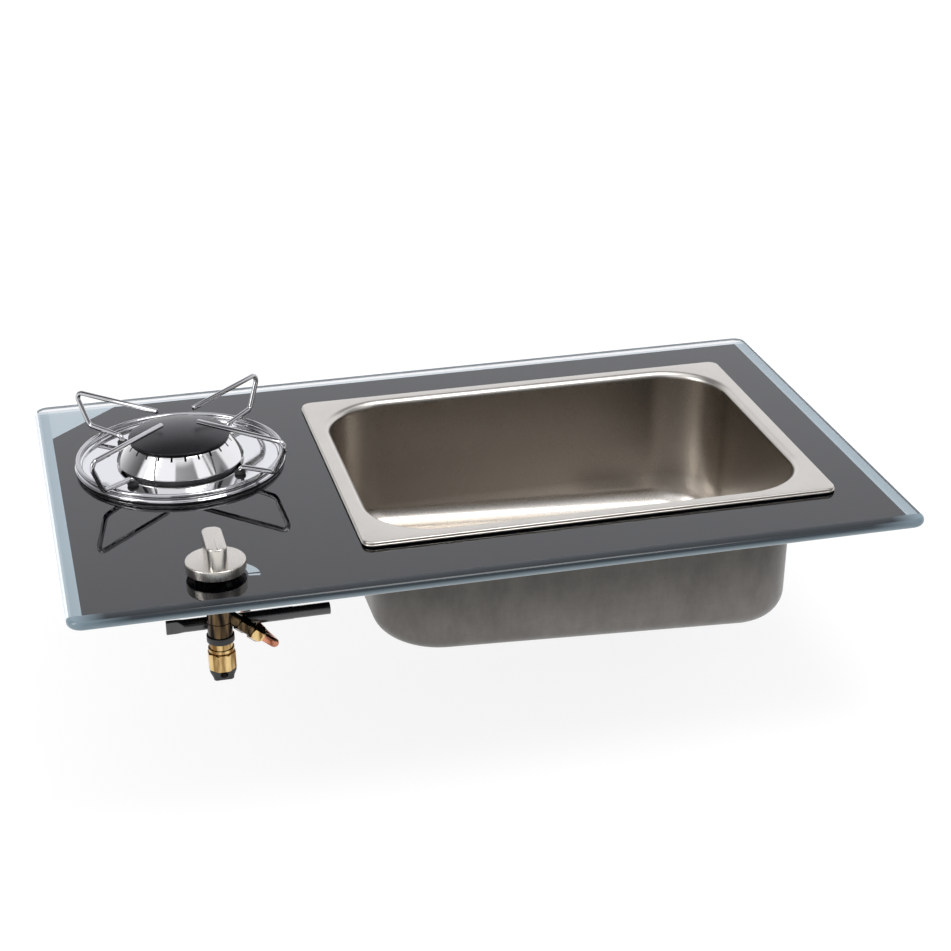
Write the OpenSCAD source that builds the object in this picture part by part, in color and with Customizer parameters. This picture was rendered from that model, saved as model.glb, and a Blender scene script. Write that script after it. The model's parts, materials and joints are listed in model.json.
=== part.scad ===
// Drop-in hob and sink: a glass plate with a pressed steel bowl and one gas burner.
// Millimetres. The origin is the middle of the plate, on the underside of the glass.
// +X is to the right, +Y is to the back and +Z is up.

/* [Glass plate] */
// Width of the glass plate
plate_w = 560; // [540:5:620]
// Depth of the glass plate
plate_d = 350; // [335:5:420]
// Thickness of the glass
glass_t = 6; // [5:0.5:8]
// Corner radius of the glass
plate_corner_r = 10; // [5:1:25]
// Clear border left around the black print
print_border = 10; // [5:1:14]
// Thickness of the black print
print_t = 0.3; // [0.2:0.1:0.6]
// Length of the cut at the print's back left corner, along each side
print_cut = 48.8; // [20:0.2:60]
// Gap between the glass and what passes through its holes
hole_gap = 0.8; // [0.4:0.1:1.5]

/* [Sink bowl] */
// Width over the bowl's rim
rim_w = 326; // [300:2:340]
// Depth over the bowl's rim
rim_d = 244; // [220:2:260]
// Middle of the bowl, from the plate's right edge
sink_from_right = 205; // [190:1:215]
// Height of the folded hem round the rim
hem_h = 3; // [2.6:0.1:5]
// Width of the hem's underside
hem_w = 3.2; // [2.5:0.1:4.5]
// Outer corner radius of the rim
rim_corner_r = 8; // [6:1:14]
// Width of the rim's flat top
rim_flat_w = 8; // [6:0.5:12]
// Radius of the lip where the rim turns down into the bowl
lip_r = 5; // [3:0.5:7]
// Depth of the bowl at its middle, below the rim's top
bowl_depth = 103; // [80:1:140]
// Corner radius of the bowl at its mouth
bowl_corner_r = 46; // [35:1:60]
// Radius between the bowl's wall and floor
floor_r = 16; // [8:1:20]
// Lean of the bowl's walls
wall_lean = 2; // [1:0.5:3]
// Fall of the floor towards the drain, per unit of length
floor_fall = 0.057; // [0:0.001:0.07]
// Thickness of the bowl's steel
steel_t = 1; // [0.7:0.1:1.4]
// Thickness of the gasket under the rim
gasket_t = 0.8; // [0.5:0.1:1.5]
// Width of the gasket under the rim
gasket_w = 7; // [5:0.5:9]
// Distance of the gasket from the rim's outer edge
gasket_inset = 1.4; // [1:0.1:2]

/* [Waste] */
// Drain, right of the bowl's middle
drain_x = 92; // [60:1:96]
// Drain, behind the bowl's middle
drain_y = 50; // [0:1:54]
// Radius of the drain recess
recess_r = 34; // [32:1:36]
// Depth of the drain recess below the floor at its middle
recess_depth = 6; // [5:0.5:10]
// Radius of the drain hole
drain_r = 20; // [16:1:22]
// Radius of the strainer flange
flange_r = 28; // [26:1:30]
// Thickness of the strainer flange
flange_t = 1.8; // [1.2:0.1:3]
// Radius of the small strainer holes
strainer_hole_r = 2.2; // [1.5:0.1:2.4]
// Thickness of the waste seal
waste_seal_t = 1.5; // [1:0.1:3]
// Outer radius of the waste cup
waste_cup_r = 23; // [22:0.5:26]
// Height of the waste cup below its flange
waste_cup_h = 15; // [12:1:25]
// Wall of the waste cup
waste_wall = 2.5; // [2:0.1:4]
// Outer radius of the hose spigot
spigot_r = 12.5; // [10:0.5:16]
// Length of the hose spigot
spigot_len = 28; // [20:1:40]
// Radius of the waste screw
waste_screw_r = 2.5; // [2:0.1:3]

/* [Bowl clips] */
// Width of a clip
clip_w = 18; // [12:1:24]
// Reach of a clip away from the bowl
clip_reach = 16; // [12:1:18]
// Height of a clip's back
clip_h = 13; // [10:1:14]
// Thickness of a clip
clip_t = 1.5; // [1:0.1:2]
// Drop of a clip's arm below the glass
clip_drop = 5; // [4:0.5:7]
// Radius of a clip screw
clip_screw_r = 2; // [1.5:0.1:2.5]
// Distance of a clip screw from the bowl's wall
clip_screw_out = 10; // [8:0.5:12]
// Length of a clip screw below the clip's arm
clip_screw_tail = 3; // [2:0.5:5]
// Height of a clip screw's head
clip_screw_head_h = 2.5; // [2:0.5:4]
// Distance of the clips on the long sides from the middle of the side
clip_shift = 80; // [60:5:100]

/* [Burner] */
// Middle of the burner, from the plate's left edge
hob_from_left = 95; // [90:1:105]
// Middle of the burner, from the plate's back edge
hob_from_back = 125; // [115:1:140]
// Height of the tray's bead above the glass
bead_h = 2.8; // [2:0.1:4]
// Radius of the bead's round section
bead_r = 2.6; // [2.4:0.1:3]
// Radius of the middle of the bead
bead_ring_r = 70.2; // [69:0.2:72]
// Outer radius of the tray's lip
tray_r = 73.4; // [73:0.1:80]
// Height of the tray's floor above the glass top
tray_rise = 1.4; // [0.8:0.1:1.6]
// Thickness of the tray's steel
tray_t = 0.8; // [0.6:0.1:1]
// Thickness of the gasket under the bead
tray_gasket_t = 0.6; // [0.4:0.1:1]
// Outer radius of the burner cup
cup_r = 32; // [28:1:32]
// Radius of the burner cup's flange
cup_flange_r = 40; // [39.5:0.5:42]
// Thickness of the burner cup's flange
cup_flange_t = 2.1; // [1.8:0.1:3]
// Depth of the burner cup below the glass
cup_depth = 28; // [24:1:36]
// Wall of the burner cup
cup_wall = 3; // [2:0.1:4]
// Radius of the crown's lower edge
crown_low_r = 44.3; // [43.5:0.1:46]
// Radius of the crown's upper edge
crown_top_r = 34.8; // [33:0.1:36]
// Height of the crown
crown_h = 13.8; // [12.5:0.1:15]
// Outward swell of the crown's skirt
crown_swell = 0.3; // [0:0.1:1]
// Height of the crown's upright lower edge
crown_edge_h = 0.6; // [0.3:0.1:1.5]
// Thickness of the crown
crown_t = 1.2; // [0.8:0.1:1.6]
// Number of flame slots
slots = 24; // [12:1:30]
// Width of a flame slot
slot_w = 1.4; // [0.8:0.1:1.6]
// Height of a flame slot
slot_h = 2.6; // [2:0.1:3.5]
// Outer radius of the crown's mixing tube
mix_r = 8; // [6:0.5:10]
// Length of the mixing tube below the crown's top
mix_len = 26; // [20:1:30]
// Radius of the burner cap
cap_r = 35.3; // [34:0.1:37]
// Height of the cap's edge above the crown
cap_edge = 1.5; // [1:0.1:2.5]
// Thickness of the cap's edge
cap_rim_t = 0.8; // [0.5:0.1:1.2]
// Height of the cap's dome
dome_h = 4.6; // [3:0.1:5]
// Thickness of the ring under the glass
ring_t = 1.6; // [1.2:0.1:2.5]
// Radius of a burner screw
burner_screw_r = 2; // [1.5:0.1:2.2]
// Width across the flats of the copper pipe's nut
pipe_nut_af = 14; // [12:0.5:17]
// Height of the copper pipe's nut
pipe_nut_h = 10; // [8:0.5:12]

/* [Pan support] */
// Diameter of the wire
wire_d = 3.6; // [3:0.1:4]
// Radius of the wire ring, at the middle of the wire
wire_ring_r = 71; // [69:0.5:73]
// Radius at which the feet stand
feet_r = 52; // [50:0.5:54]
// Radius where an arm turns up
arm_turn_r = 82; // [79:0.5:86]
// Radius of an arm's top corner
arm_out_r = 93.7; // [90:0.5:100]
// Radius of an arm's inner tip
arm_tip_r = 17.7; // [14:0.5:24]
// Height of the arms above the glass, to the middle of the wire
arm_h = 33.3; // [32:0.5:40]
// Radius of the bends, at the middle of the wire
bend_r = 4.5; // [3.6:0.1:5]
// Radius of a rubber foot
foot_r = 4; // [3.6:0.1:4.4]
// Height of a rubber foot
foot_h = 2.6; // [2.4:0.1:2.8]

/* [Knob] */
// Knob and tap, from the plate's left edge
tap_from_left = 96; // [80:1:110]
// Knob and tap, from the plate's front edge
tap_from_front = 44; // [38:1:50]
// Diameter of the knob's disc
knob_d = 38.4; // [34:0.2:42]
// Gap between the glass and the knob
knob_gap = 3.5; // [3.3:0.1:5]
// Thickness of the knob's disc
knob_disc_h = 6.8; // [6:0.1:9]
// Width of the grip bar
grip_w = 12.6; // [10:0.1:15]
// Length of the grip bar
grip_len = 36; // [30:0.5:36]
// Height of the grip bar above the disc
grip_h = 14.5; // [10:0.5:20]
// Corner radius of the grip bar
grip_corner_r = 5.2; // [3:0.1:6]
// How far the knob can be pushed
knob_push = 3; // [2:0.1:3]

/* [Tap] */
// Radius of the spindle
spindle_r = 3; // [2.8:0.1:3.2]
// Radius of the spindle's lower end
tang_r = 2; // [1.7:0.1:2.1]
// Radius of the tap's threaded neck
neck_r = 6; // [5.5:0.1:7]
// Radius of the tap's head, below the glass
head_r = 12.8; // [12.4:0.1:14]
// Depth of the tap's head below the glass
head_depth = 14.5; // [14:0.1:16]
// Thickness of the fibre washer
washer_t = 1; // [0.5:0.1:1.5]
// Radius of the tap's column
column_r = 8; // [7.6:0.1:8.2]
// Depth of the column's lower end below the glass
column_depth = 41.2; // [40.6:0.2:44]
// Upper radius of the turning plug
plug_r = 4; // [3.8:0.1:4.2]
// Lower radius of the turning plug
plug_low_r = 3.4; // [3.2:0.1:3.6]
// Radius of the black collar
collar_r = 8.9; // [8.7:0.1:9.4]
// Height of the black collar
collar_h = 4.4; // [3.5:0.1:5]
// Radius of the brass housing
housing_r = 8.4; // [8:0.1:8.8]
// Height of the brass housing
housing_h = 7.6; // [7:0.2:10]
// Width across the flats of the brass nut
brass_nut_af = 17.2; // [16:0.1:18]
// Height of the brass nut
brass_nut_h = 11.5; // [9:0.5:13]
// Height of the thermocouple plug
lead_plug_h = 7; // [5:0.5:10]
// Width of the plug's square lower end
lead_plug_low = 12.8; // [11:0.1:14]
// Slant of the outlet below the horizontal
outlet_slant = 39.7; // [30:0.1:50]
// Depth of the outlet's axis below the glass, where it leaves the column's axis
outlet_depth = 20; // [18:0.5:22]
// Width across the flats of the dark outlet nut
outlet_nut_af = 9.6; // [9:0.1:10]
// Where the dark outlet nut starts, along the outlet
outlet_nut_from = 15.2; // [15:0.1:16]
// Length of the dark outlet nut
outlet_nut_len = 11; // [10:0.5:12]
// Width across the flats of the brass gland
gland_af = 10.4; // [9.5:0.1:11]
// Length of the brass gland
gland_len = 8.5; // [7:0.5:9]
// Diameter of the copper pipe
pipe_d = 6; // [5.6:0.1:6.2]

/* [Gas rail] */
// Diameter of the gas rail
rail_d = 8.4; // [8.4:0.1:8.6]
// Diameter of the rail's inlet end
inlet_d = 8; // [7.8:0.1:8]
// Length of the rail's inlet end
inlet_len = 24; // [18:1:30]
// Wall of the gas rail at its inlet end
rail_wall = 1; // [0.7:0.1:1.5]
// Reach of the rail to the left of the tap
rail_left = 33; // [28:0.5:40]
// Reach of the rail to the right of the tap
rail_right = 73; // [60:0.5:90]
// Depth of the rail's axis below the glass
rail_depth = 34.9; // [34.4:0.1:35.4]
// Length of the flattened end
rail_flat_len = 7; // [5:0.5:12]
// Width of the saddle
saddle_w = 9; // [7:0.5:10]
// Thickness of the saddle
saddle_t = 1.2; // [0.8:0.1:1.6]

/* [Thermocouple] */
// Radius from the burner's middle to the flame sensor
sensor_ring_r = 49; // [48:0.5:52]
// Radius of the flame sensor
sensor_r = 2.2; // [1.8:0.1:2.4]
// Height of the flame sensor's tip above the glass
sensor_h = 11; // [9:0.5:12]
// Length of the flame sensor below the ring under the glass
sensor_drop = 14; // [10:1:18]
// Diameter of the thermocouple lead
lead_d = 2.4; // [2:0.1:2.8]

/* [Hidden] */
$fn = 96;

// Clearances
run_gap = 0.06;
fit_gap = 0.15;
free_gap = 0.3;
cut = 1;

// Heights of the bowl
sink_x = plate_w / 2 - sink_from_right;
rim_top = glass_t + gasket_t + hem_h;
floor_z = rim_top - bowl_depth;
mouth_inset = rim_flat_w + lip_r;
lip_z = rim_top - lip_r;
wall_drop = lip_z - floor_z - floor_r;
floor_inset = mouth_inset + tan(wall_lean) * wall_drop;
lip_steps = 5;
floor_steps = 6;
corner_steps = 10;

// Drain
drain_at = [sink_x + drain_x, drain_y];
recess_z = floor_z - floor_fall * drain_x - recess_depth;
seat_z = recess_z - steel_t;
cup_top_z = seat_z - waste_seal_t;
waste_flange_t = 2.5;
bridge_h = 6;
bridge_w = 8;

// Burner
hob_at = [hob_from_left - plate_w / 2, plate_d / 2 - hob_from_back];
bead_top = glass_t + bead_h;
bead_z = bead_top - bead_r;
tray_z = glass_t + tray_rise;
tray_lip_z = glass_t + tray_gasket_t;
tray_hole_r = bead_ring_r - bead_r + tray_t + hole_gap;
crown_z = tray_z + cup_flange_t;
crown_top = crown_z + crown_h;
cap_neck_r = crown_top_r - 2.4;
burner_screw_ring = cup_r + (cup_flange_r - cup_r) / 2 + 0.6;
burner_screw_count = 3;
screw_head_r = 3.6;
screw_head_h = 2.2;
ring_out_r = tray_hole_r + 10;
injector_r = 4.5;
injector_end = -cup_depth - 9;

// Pan support
wire_r = wire_d / 2;
wire_ring_z = bead_top + free_gap + wire_r;
arm_low_z = wire_ring_z + wire_r * 0.9;
arm_rise = 2.8;
arm_z = glass_t + arm_h;
arm_angles = [45, 135, 225, 315];
foot_grip = 1.8;
foot_bore_r = wire_r + 0.7;

// Knob and tap
tap_at = [tap_from_left - plate_w / 2, tap_from_front - plate_d / 2];
knob_z = glass_t + knob_gap;
knob_top = knob_z + knob_disc_h;
knob_skin = 2.2;
knob_pocket_r = 14;
knob_pocket_top = knob_top - knob_skin;
spindle_top = knob_top + grip_h - 5;
neck_washer_z = -washer_t;
cover_t = 3.5;
chamber_top = neck_washer_z - cover_t;
neck_nut_h = 2.4;
neck_top = glass_t + neck_nut_h + 0.2;
neck_nut_af = 17;
cover_screw_r = 1.2;
cover_screw_ring = (column_r + head_r) / 2;
cover_head_r = (head_r - column_r) / 2 - 0.2;
cover_head_h = 1.2;
socket_r = 5.4;
socket_low = neck_top + knob_push + free_gap;
chamber_r = 5.2;
plug_top = -head_depth + 1;
clip_gap = free_gap;
spindle_clip_t = 0.8;
shoulder_z = chamber_top - clip_gap - 2 * spindle_clip_t;
tang_len = shoulder_z - plug_top + 4.5;
tang_end = shoulder_z - tang_len;
socket_end = tang_end - knob_push - 1;
plug_end = -29.5;
pin_r = 0.7;
seat_top = plug_end - 1.3;
valve_seat_t = 1.2;
valve_top = seat_top - valve_seat_t - free_gap;
valve_r = 3.4;
valve_disc_t = 1.2;
pin_end = valve_top + 0.05;
armature_z = -column_depth - 2;
magnet_top = armature_z - knob_push - free_gap;
housing_low = -column_depth - housing_h;
brass_nut_low = housing_low - brass_nut_h;
housing_bore = 5;
magnet_r = housing_bore - fit_gap;
lead_plug_low_z = brass_nut_low - lead_plug_h;

// Spring round the lower end of the spindle
spring_wire_r = 0.3;
spring_r = tang_r + fit_gap + spring_wire_r + 0.05;
spring_turns = 5;
spring_low = plug_top + spring_wire_r;
spring_high = shoulder_z - spring_wire_r;

// Outlet, rail and pipe
pipe_r = pipe_d / 2;
outlet_end = outlet_nut_from + outlet_nut_len;
gland_end = outlet_end + gland_len;
pipe_from = outlet_nut_from + 0.5;
rail_r = rail_d / 2;
rail_y = tap_at[1] + column_r + rail_r + 0.6;
saddle_r = rail_r + fit_gap + saddle_t;
saddle_screw_r = 1.1;
saddle_head_r = 1.7;
saddle_screw_z = saddle_r + saddle_head_r + 0.1;
saddle_h = 2 * (saddle_screw_z + saddle_head_r);
pad_deep = 2.2;
rail_sides = 24;

// Thermocouple
lead_r = lead_d / 2;
sensor_at = hob_at + [0, sensor_ring_r];
sensor_low = -ring_t - sensor_drop;
lead_socket_y = lead_plug_low / 2 - 1.6;
lead_start_z = lead_plug_low_z + lead_plug_h * 0.45;

// Route of the copper pipe: points from the tap, then points from the burner's middle
pipe_near = [[33.8, 7, -50.3], [30.4, 18, -50.5], [25.5, 33, -48.5], [20.5, 48, -45.5], [14, 69, -42]];
pipe_far = [[7.5, -85, -41], [2, -55, -43], [0.2, -28, -47], [0, -12, -50.5]];
// Route of the thermocouple lead: points from the tap, then points from the burner's middle
lead_near = [
  [1.4, 16.5, -62.5], [2.2, 20, -57.5], [2.4, 21, -48], [2.4, 21.4, -38], [2, 24, -31], [1, 35, -26.5], [-6, 61, -24]
];
lead_far = [[-21, -90, -22], [-37, -56, -21], [-44, -16, -21], [-39, 20, -22], [-23, 44, -24], [-8, 51, -26.5]];

// Helpers

// Points of a plane arc round a middle, between two angles
function arc(mid, r, from, to, steps) =
  [for (i = [0:steps]) mid + r * [cos(from + (to - from) * i / steps), sin(from + (to - from) * i / steps)]];

// Vector scaled to unit length
function unit(v) = v / norm(v);

// Point on a smooth curve through four points, at share t between the middle two
function curve_at(a, b, c, d, t) =
  0.5 * (2 * b + (c - a) * t + (2 * a - 5 * b + 4 * c - d) * t * t + (3 * b - a - 3 * c + d) * t * t * t);

// Smooth curve through a list of points
function curve(p, steps) = [
  for (i = [0:len(p) - 2], s = [0:steps - 1])
    curve_at(p[max(i - 1, 0)], p[i], p[i + 1], p[min(i + 2, len(p) - 1)], s / steps),
  p[len(p) - 1]
];

// Points given from a place in the plan
function placed(at, p) = [for (q = p) [at[0] + q[0], at[1] + q[1], q[2]]];

// Direction of a path at each of its points
function headings(p) = [
  for (i = [0:len(p) - 1]) unit(p[min(i + 1, len(p) - 1)] - p[max(i - 1, 0)])
];

// Sideways directions that turn as little as they can along the path
function sideways(t, first) = [
  for (i = 0, n = unit(first - (first * t[0]) * t[0]); i < len(t);
       i = i + 1, n = i < len(t) ? unit(n - (n * t[i]) * t[i]) : n) n
];

// Solid through a list of rings that all have as many points, closed at both ends
module skin(rings, caps) {
  count = len(rings[0]);
  last = len(rings) - 1;
  points = [for (ring = rings) each ring, caps[0], caps[1]];
  tip = len(rings) * count;
  sides = [
    for (k = [0:last - 1], i = [0:count - 1])
      let (j = (i + 1) % count, a = k * count, b = a + count)
        each [[a + i, a + j, b + i], [a + j, b + j, b + i]]
  ];
  first_cap = [for (i = [0:count - 1]) [tip, (i + 1) % count, i]];
  last_cap = [for (i = [0:count - 1]) [tip + 1, last * count + i, last * count + (i + 1) % count]];
  polyhedron(points, concat(sides, first_cap, last_cap), convexity = 10);
}

// Round tube along a path of points
module tube_along(path, r, sides_n, first) {
  t = headings(path);
  n = sideways(t, first);
  rings = [
    for (k = [0:len(path) - 1])
      let (w = cross(t[k], n[k]))
        [for (i = [0:sides_n - 1]) path[k] + r * (cos(-360 * i / sides_n) * n[k] + sin(-360 * i / sides_n) * w)]
  ];
  skin(rings, [path[0], path[len(path) - 1]]);
}

// Flat rectangle with round corners
module round_rect(w, d, r) {
  square([w - 2 * r, d], center = true);
  square([w, d - 2 * r], center = true);
  for (x = [-1, 1], y = [-1, 1])
    translate([x * (w / 2 - r), y * (d / 2 - r)])
      circle(r);
}

// Hexagonal bar along +Z, by the width across its flats
module hex_bar(af, h) {
  cylinder(h = h, d = af / cos(30), $fn = 6);
}

// Ring along +Z
module ring(r_out, r_in, h) {
  difference() {
    cylinder(h = h, r = r_out);
    translate([0, 0, -cut])
      cylinder(h = h + 2 * cut, r = r_in);
  }
}

// Flat path through a list of corners, with a round bend at each inner corner
function bent(p, bend, steps) = [
  p[0],
  for (i = [1:len(p) - 2])
    let (
      u = unit(p[i] - p[i - 1]),
      turn = bend_angle(p, i),
      side = sign(turn),
      from = p[i] - u * bend * tan(abs(turn) / 2),
      start = atan2(u[1], u[0]) - side * 90
    ) each arc(from + side * bend * [-u[1], u[0]], bend, start, start + turn, steps),
  p[len(p) - 1]
];

// Signed turn at a corner of a flat path
function bend_angle(p, i) =
  let (u = p[i] - p[i - 1], v = p[i + 1] - p[i])
    atan2(u[0] * v[1] - u[1] * v[0], u * v);

// Places along the slanted outlet
module along_outlet(d) {
  translate([tap_at[0], tap_at[1], -outlet_depth])
    rotate([0, 90 + outlet_slant, 0])
      translate([0, 0, d])
        children();
}

function outlet_point(d) =
  [tap_at[0] + d * cos(outlet_slant), tap_at[1], -outlet_depth - d * sin(outlet_slant)];

module at_hob(z) {
  translate([hob_at[0], hob_at[1], z])
    children();
}

module at_tap(z) {
  translate([tap_at[0], tap_at[1], z])
    children();
}

module at_drain(z) {
  translate([drain_at[0], drain_at[1], z])
    children();
}

// Glass plate and print

// Outline of the hole for the bowl
module bowl_hole() {
  inset = mouth_inset - steel_t - hole_gap;
  translate([sink_x, 0])
    round_rect(rim_w - 2 * inset, rim_d - 2 * inset, bowl_corner_r + steel_t + hole_gap);
}

// Outline of all the holes in the plate
module plate_holes() {
  bowl_hole();
  translate(hob_at)
    circle(tray_hole_r);
  translate(tap_at)
    circle(neck_r + hole_gap);
}

// Clear mark beside the knob: a curved wedge for the flame size and a short bar for off
module flame_mark() {
  inner = 20;
  outer = 27.5;
  sweep = 70;
  steps = 14;
  gap_angle = 4;
  bar_angle = 10;
  wedge = [
    for (i = [0:steps])
      let (a = sweep * i / steps, r = outer - (outer - inner) * pow(i / steps, 1.3)) r * [cos(a), sin(a)]
  ];
  edge = [for (i = [steps - 1:-1:0]) inner * [cos(sweep * i / steps), sin(sweep * i / steps)]];
  polygon(concat(wedge, edge));
  polygon(concat(arc([0, 0], outer, -bar_angle, -gap_angle, 3), arc([0, 0], inner, -gap_angle, -bar_angle, 3)));
}

// Outline of the black print
module print_shape() {
  w = plate_w / 2 - print_border;
  d = plate_d / 2 - print_border;
  difference() {
    polygon([[-w, -d], [w, -d], [w, d], [-w + print_cut, d], [-w, d - print_cut]]);
    plate_holes();
    translate(tap_at)
      flame_mark();
  }
}

// Section of the plate's edge, from the corner's middle outward
module edge_section() {
  edge_r = glass_t * 0.55;
  flat = plate_corner_r - edge_r;
  translate([0, -glass_t / 2])
    square([flat, glass_t]);
  intersection() {
    translate([flat, 0])
      circle(edge_r);
    translate([flat, -glass_t / 2])
      square([edge_r, glass_t]);
  }
}

module glass_plate() {
  inner_w = plate_w - 2 * plate_corner_r;
  inner_d = plate_d - 2 * plate_corner_r;
  color([0.78, 0.87, 0.88, 0.5])
    difference() {
      union() {
        translate([-inner_w / 2, -inner_d / 2, 0])
          cube([inner_w, inner_d, glass_t]);
        for (side = [[0, inner_w, inner_d], [90, inner_d, inner_w], [180, inner_w, inner_d], [270, inner_d, inner_w]])
          rotate([0, 0, side[0]])
            translate([side[1] / 2, side[2] / 2, glass_t / 2]) {
              rotate([90, 0, 0])
                linear_extrude(side[2])
                  edge_section();
              rotate_extrude(angle = 90)
                edge_section();
            }
      }
      translate([0, 0, -cut])
        linear_extrude(glass_t + 2 * cut)
          plate_holes();
      translate([0, 0, -cut])
        linear_extrude(print_t + cut)
          print_shape();
    }
}

module enamel_print() {
  color([0.03, 0.03, 0.035])
    linear_extrude(print_t)
      print_shape();
}

// Sink bowl

// Ring of points round the bowl: inset from the rim, corner radius, height and share of the floor's fall
function bowl_ring(inset, corner, z, fall) = [
  for (q = [0:3], i = [0:corner_steps])
    let (
      a = 90 * q + 90 * i / corner_steps,
      sx = q == 0 || q == 3 ? 1 : -1,
      sy = q < 2 ? 1 : -1,
      x = sx * (rim_w / 2 - inset - corner) + corner * cos(a),
      y = sy * (rim_d / 2 - inset - corner) + corner * sin(a)
    ) [x, y, z - fall * floor_fall * x]
];

// Rings of one face of the steel from the floor's middle up to the rim, set back by a thickness
function bowl_side(back) = [
  for (i = [0:floor_steps])
    let (
      a = 90 * i / floor_steps,
      r = floor_r + back,
      inset = floor_inset + floor_r - r * sin(a),
      corner = max(bowl_corner_r - (inset - mouth_inset), 4)
    ) bowl_ring(inset, corner, floor_z + floor_r - r * cos(a), 1 - 0.25 * i / floor_steps),
  for (i = [0:lip_steps])
    let (
      a = 90 * i / lip_steps,
      r = lip_r - back,
      inset = mouth_inset - lip_r + r * cos(a)
    ) bowl_ring(inset, bowl_corner_r + mouth_inset - inset, lip_z + r * sin(a), 0)
];

// Profile of the hem's two folded layers: inset from the rim, and height below its top as a part of three
hem_profile = [
  [1.9, 0], [1, -0.16], [0.6, -0.6], [0.6, -1.1], [0.98, -1.44],
  [0.98, -1.56], [0.42, -1.72], [0.06, -2.1], [0.04, -2.56], [0.42, -2.93], [1.1, -3]
];

// Rings of the folded hem, from the top edge round to the underside
function hem_rings() = [
  for (p = hem_profile) bowl_ring(p[0], rim_corner_r - p[0], rim_top + p[1] * hem_h / 3, 0),
  bowl_ring(hem_w, rim_corner_r - hem_w, rim_top - hem_h, 0),
  bowl_ring(hem_w, rim_corner_r - hem_w, rim_top - steel_t, 0)
];

// Everything below the sloping top face of the floor
module below_floor() {
  size = 2 * rim_w;
  translate([sink_x, 0, floor_z - steel_t / 2])
    rotate([0, atan(floor_fall), 0])
      translate([-size / 2, -size / 2, -size])
        cube(size);
}

module bowl_shell() {
  inner = bowl_side(0);
  outer = bowl_side(steel_t);
  under = [for (i = [len(outer) - 1:-1:0]) outer[i]];
  rings = concat(inner, hem_rings(), under);
  translate([sink_x, 0, 0])
    skin(rings, [[0, 0, floor_z], [0, 0, floor_z - steel_t]]);
}

module sink_basin() {
  color([0.72, 0.71, 0.69])
    difference() {
      union() {
        bowl_shell();
        intersection() {
          at_drain(seat_z)
            cylinder(h = 4 * recess_depth, r = recess_r + steel_t);
          below_floor();
        }
      }
      at_drain(recess_z)
        cylinder(h = 4 * recess_depth, r = recess_r);
      at_drain(seat_z - cut)
        cylinder(h = steel_t + 2 * cut, r = drain_r);
    }
}

module sink_gasket() {
  inner_inset = gasket_inset + gasket_w;
  color([0.05, 0.05, 0.05])
    translate([sink_x, 0, glass_t])
      linear_extrude(gasket_t)
        difference() {
          round_rect(rim_w - 2 * gasket_inset, rim_d - 2 * gasket_inset, rim_corner_r - gasket_inset);
          round_rect(rim_w - 2 * inner_inset, rim_d - 2 * inner_inset, bowl_corner_r + steel_t);
        }
}

// Clips that pull the rim down on the glass

// Places one clip: side of the bowl by angle, and shift along that side
clip_places = [
  [90, -clip_shift], [90, clip_shift], [270, -clip_shift], [270, clip_shift], [0, 0], [180, 0]
];
clip_wall_inset = mouth_inset - steel_t + tan(wall_lean) * (lip_z + clip_drop) - run_gap;

module at_clips() {
  for (p = clip_places) {
    half = (p[0] % 180 == 0 ? rim_w : rim_d) / 2 - clip_wall_inset;
    translate([sink_x, 0, -clip_drop])
      rotate([0, 0, p[0]])
        translate([half, p[1], 0])
          children();
  }
}

module bowl_clips() {
  color([0.7, 0.7, 0.72])
    at_clips()
      difference() {
        union() {
          translate([0, -clip_w / 2, -clip_h])
            cube([clip_t, clip_w, clip_h]);
          translate([0, -clip_w / 2, -clip_t])
            cube([clip_reach, clip_w, clip_t]);
        }
        translate([clip_screw_out, 0, -clip_t - cut])
          cylinder(h = clip_t + 2 * cut, r = clip_screw_r + fit_gap, $fn = 32);
      }
}

module clip_screws() {
  color([0.75, 0.75, 0.77])
    at_clips()
      translate([clip_screw_out, 0, 0]) {
        translate([0, 0, -clip_t - clip_screw_tail])
          cylinder(h = clip_drop + clip_t + clip_screw_tail, r = clip_screw_r, $fn = 32);
        translate([0, 0, -clip_t - clip_screw_tail - clip_screw_head_h])
          hex_bar(3.4 * clip_screw_r, clip_screw_head_h);
      }
}

// Waste

module waste_flange() {
  hole_rings = [[6, 8], [12, 14]];
  lip = 1.2;
  color([0.8, 0.8, 0.8])
    at_drain(recess_z)
      difference() {
        union() {
          cylinder(h = flange_t, r = flange_r);
          translate([0, 0, flange_t])
            ring(flange_r, flange_r - lip, lip);
        }
        for (hole_ring = hole_rings, i = [0:hole_ring[0] - 1])
          rotate([0, 0, 360 * i / hole_ring[0]])
            translate([hole_ring[1], 0, -cut])
              cylinder(h = flange_t + 2 * cut, r = strainer_hole_r, $fn = 32);
        translate([0, 0, -cut])
          cylinder(h = flange_t + 2 * cut, r = waste_screw_r + fit_gap, $fn = 32);
      }
}

module waste_seal() {
  color([0.08, 0.08, 0.08])
    at_drain(cup_top_z)
      ring(flange_r + 1, drain_r + 1, waste_seal_t);
}

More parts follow.
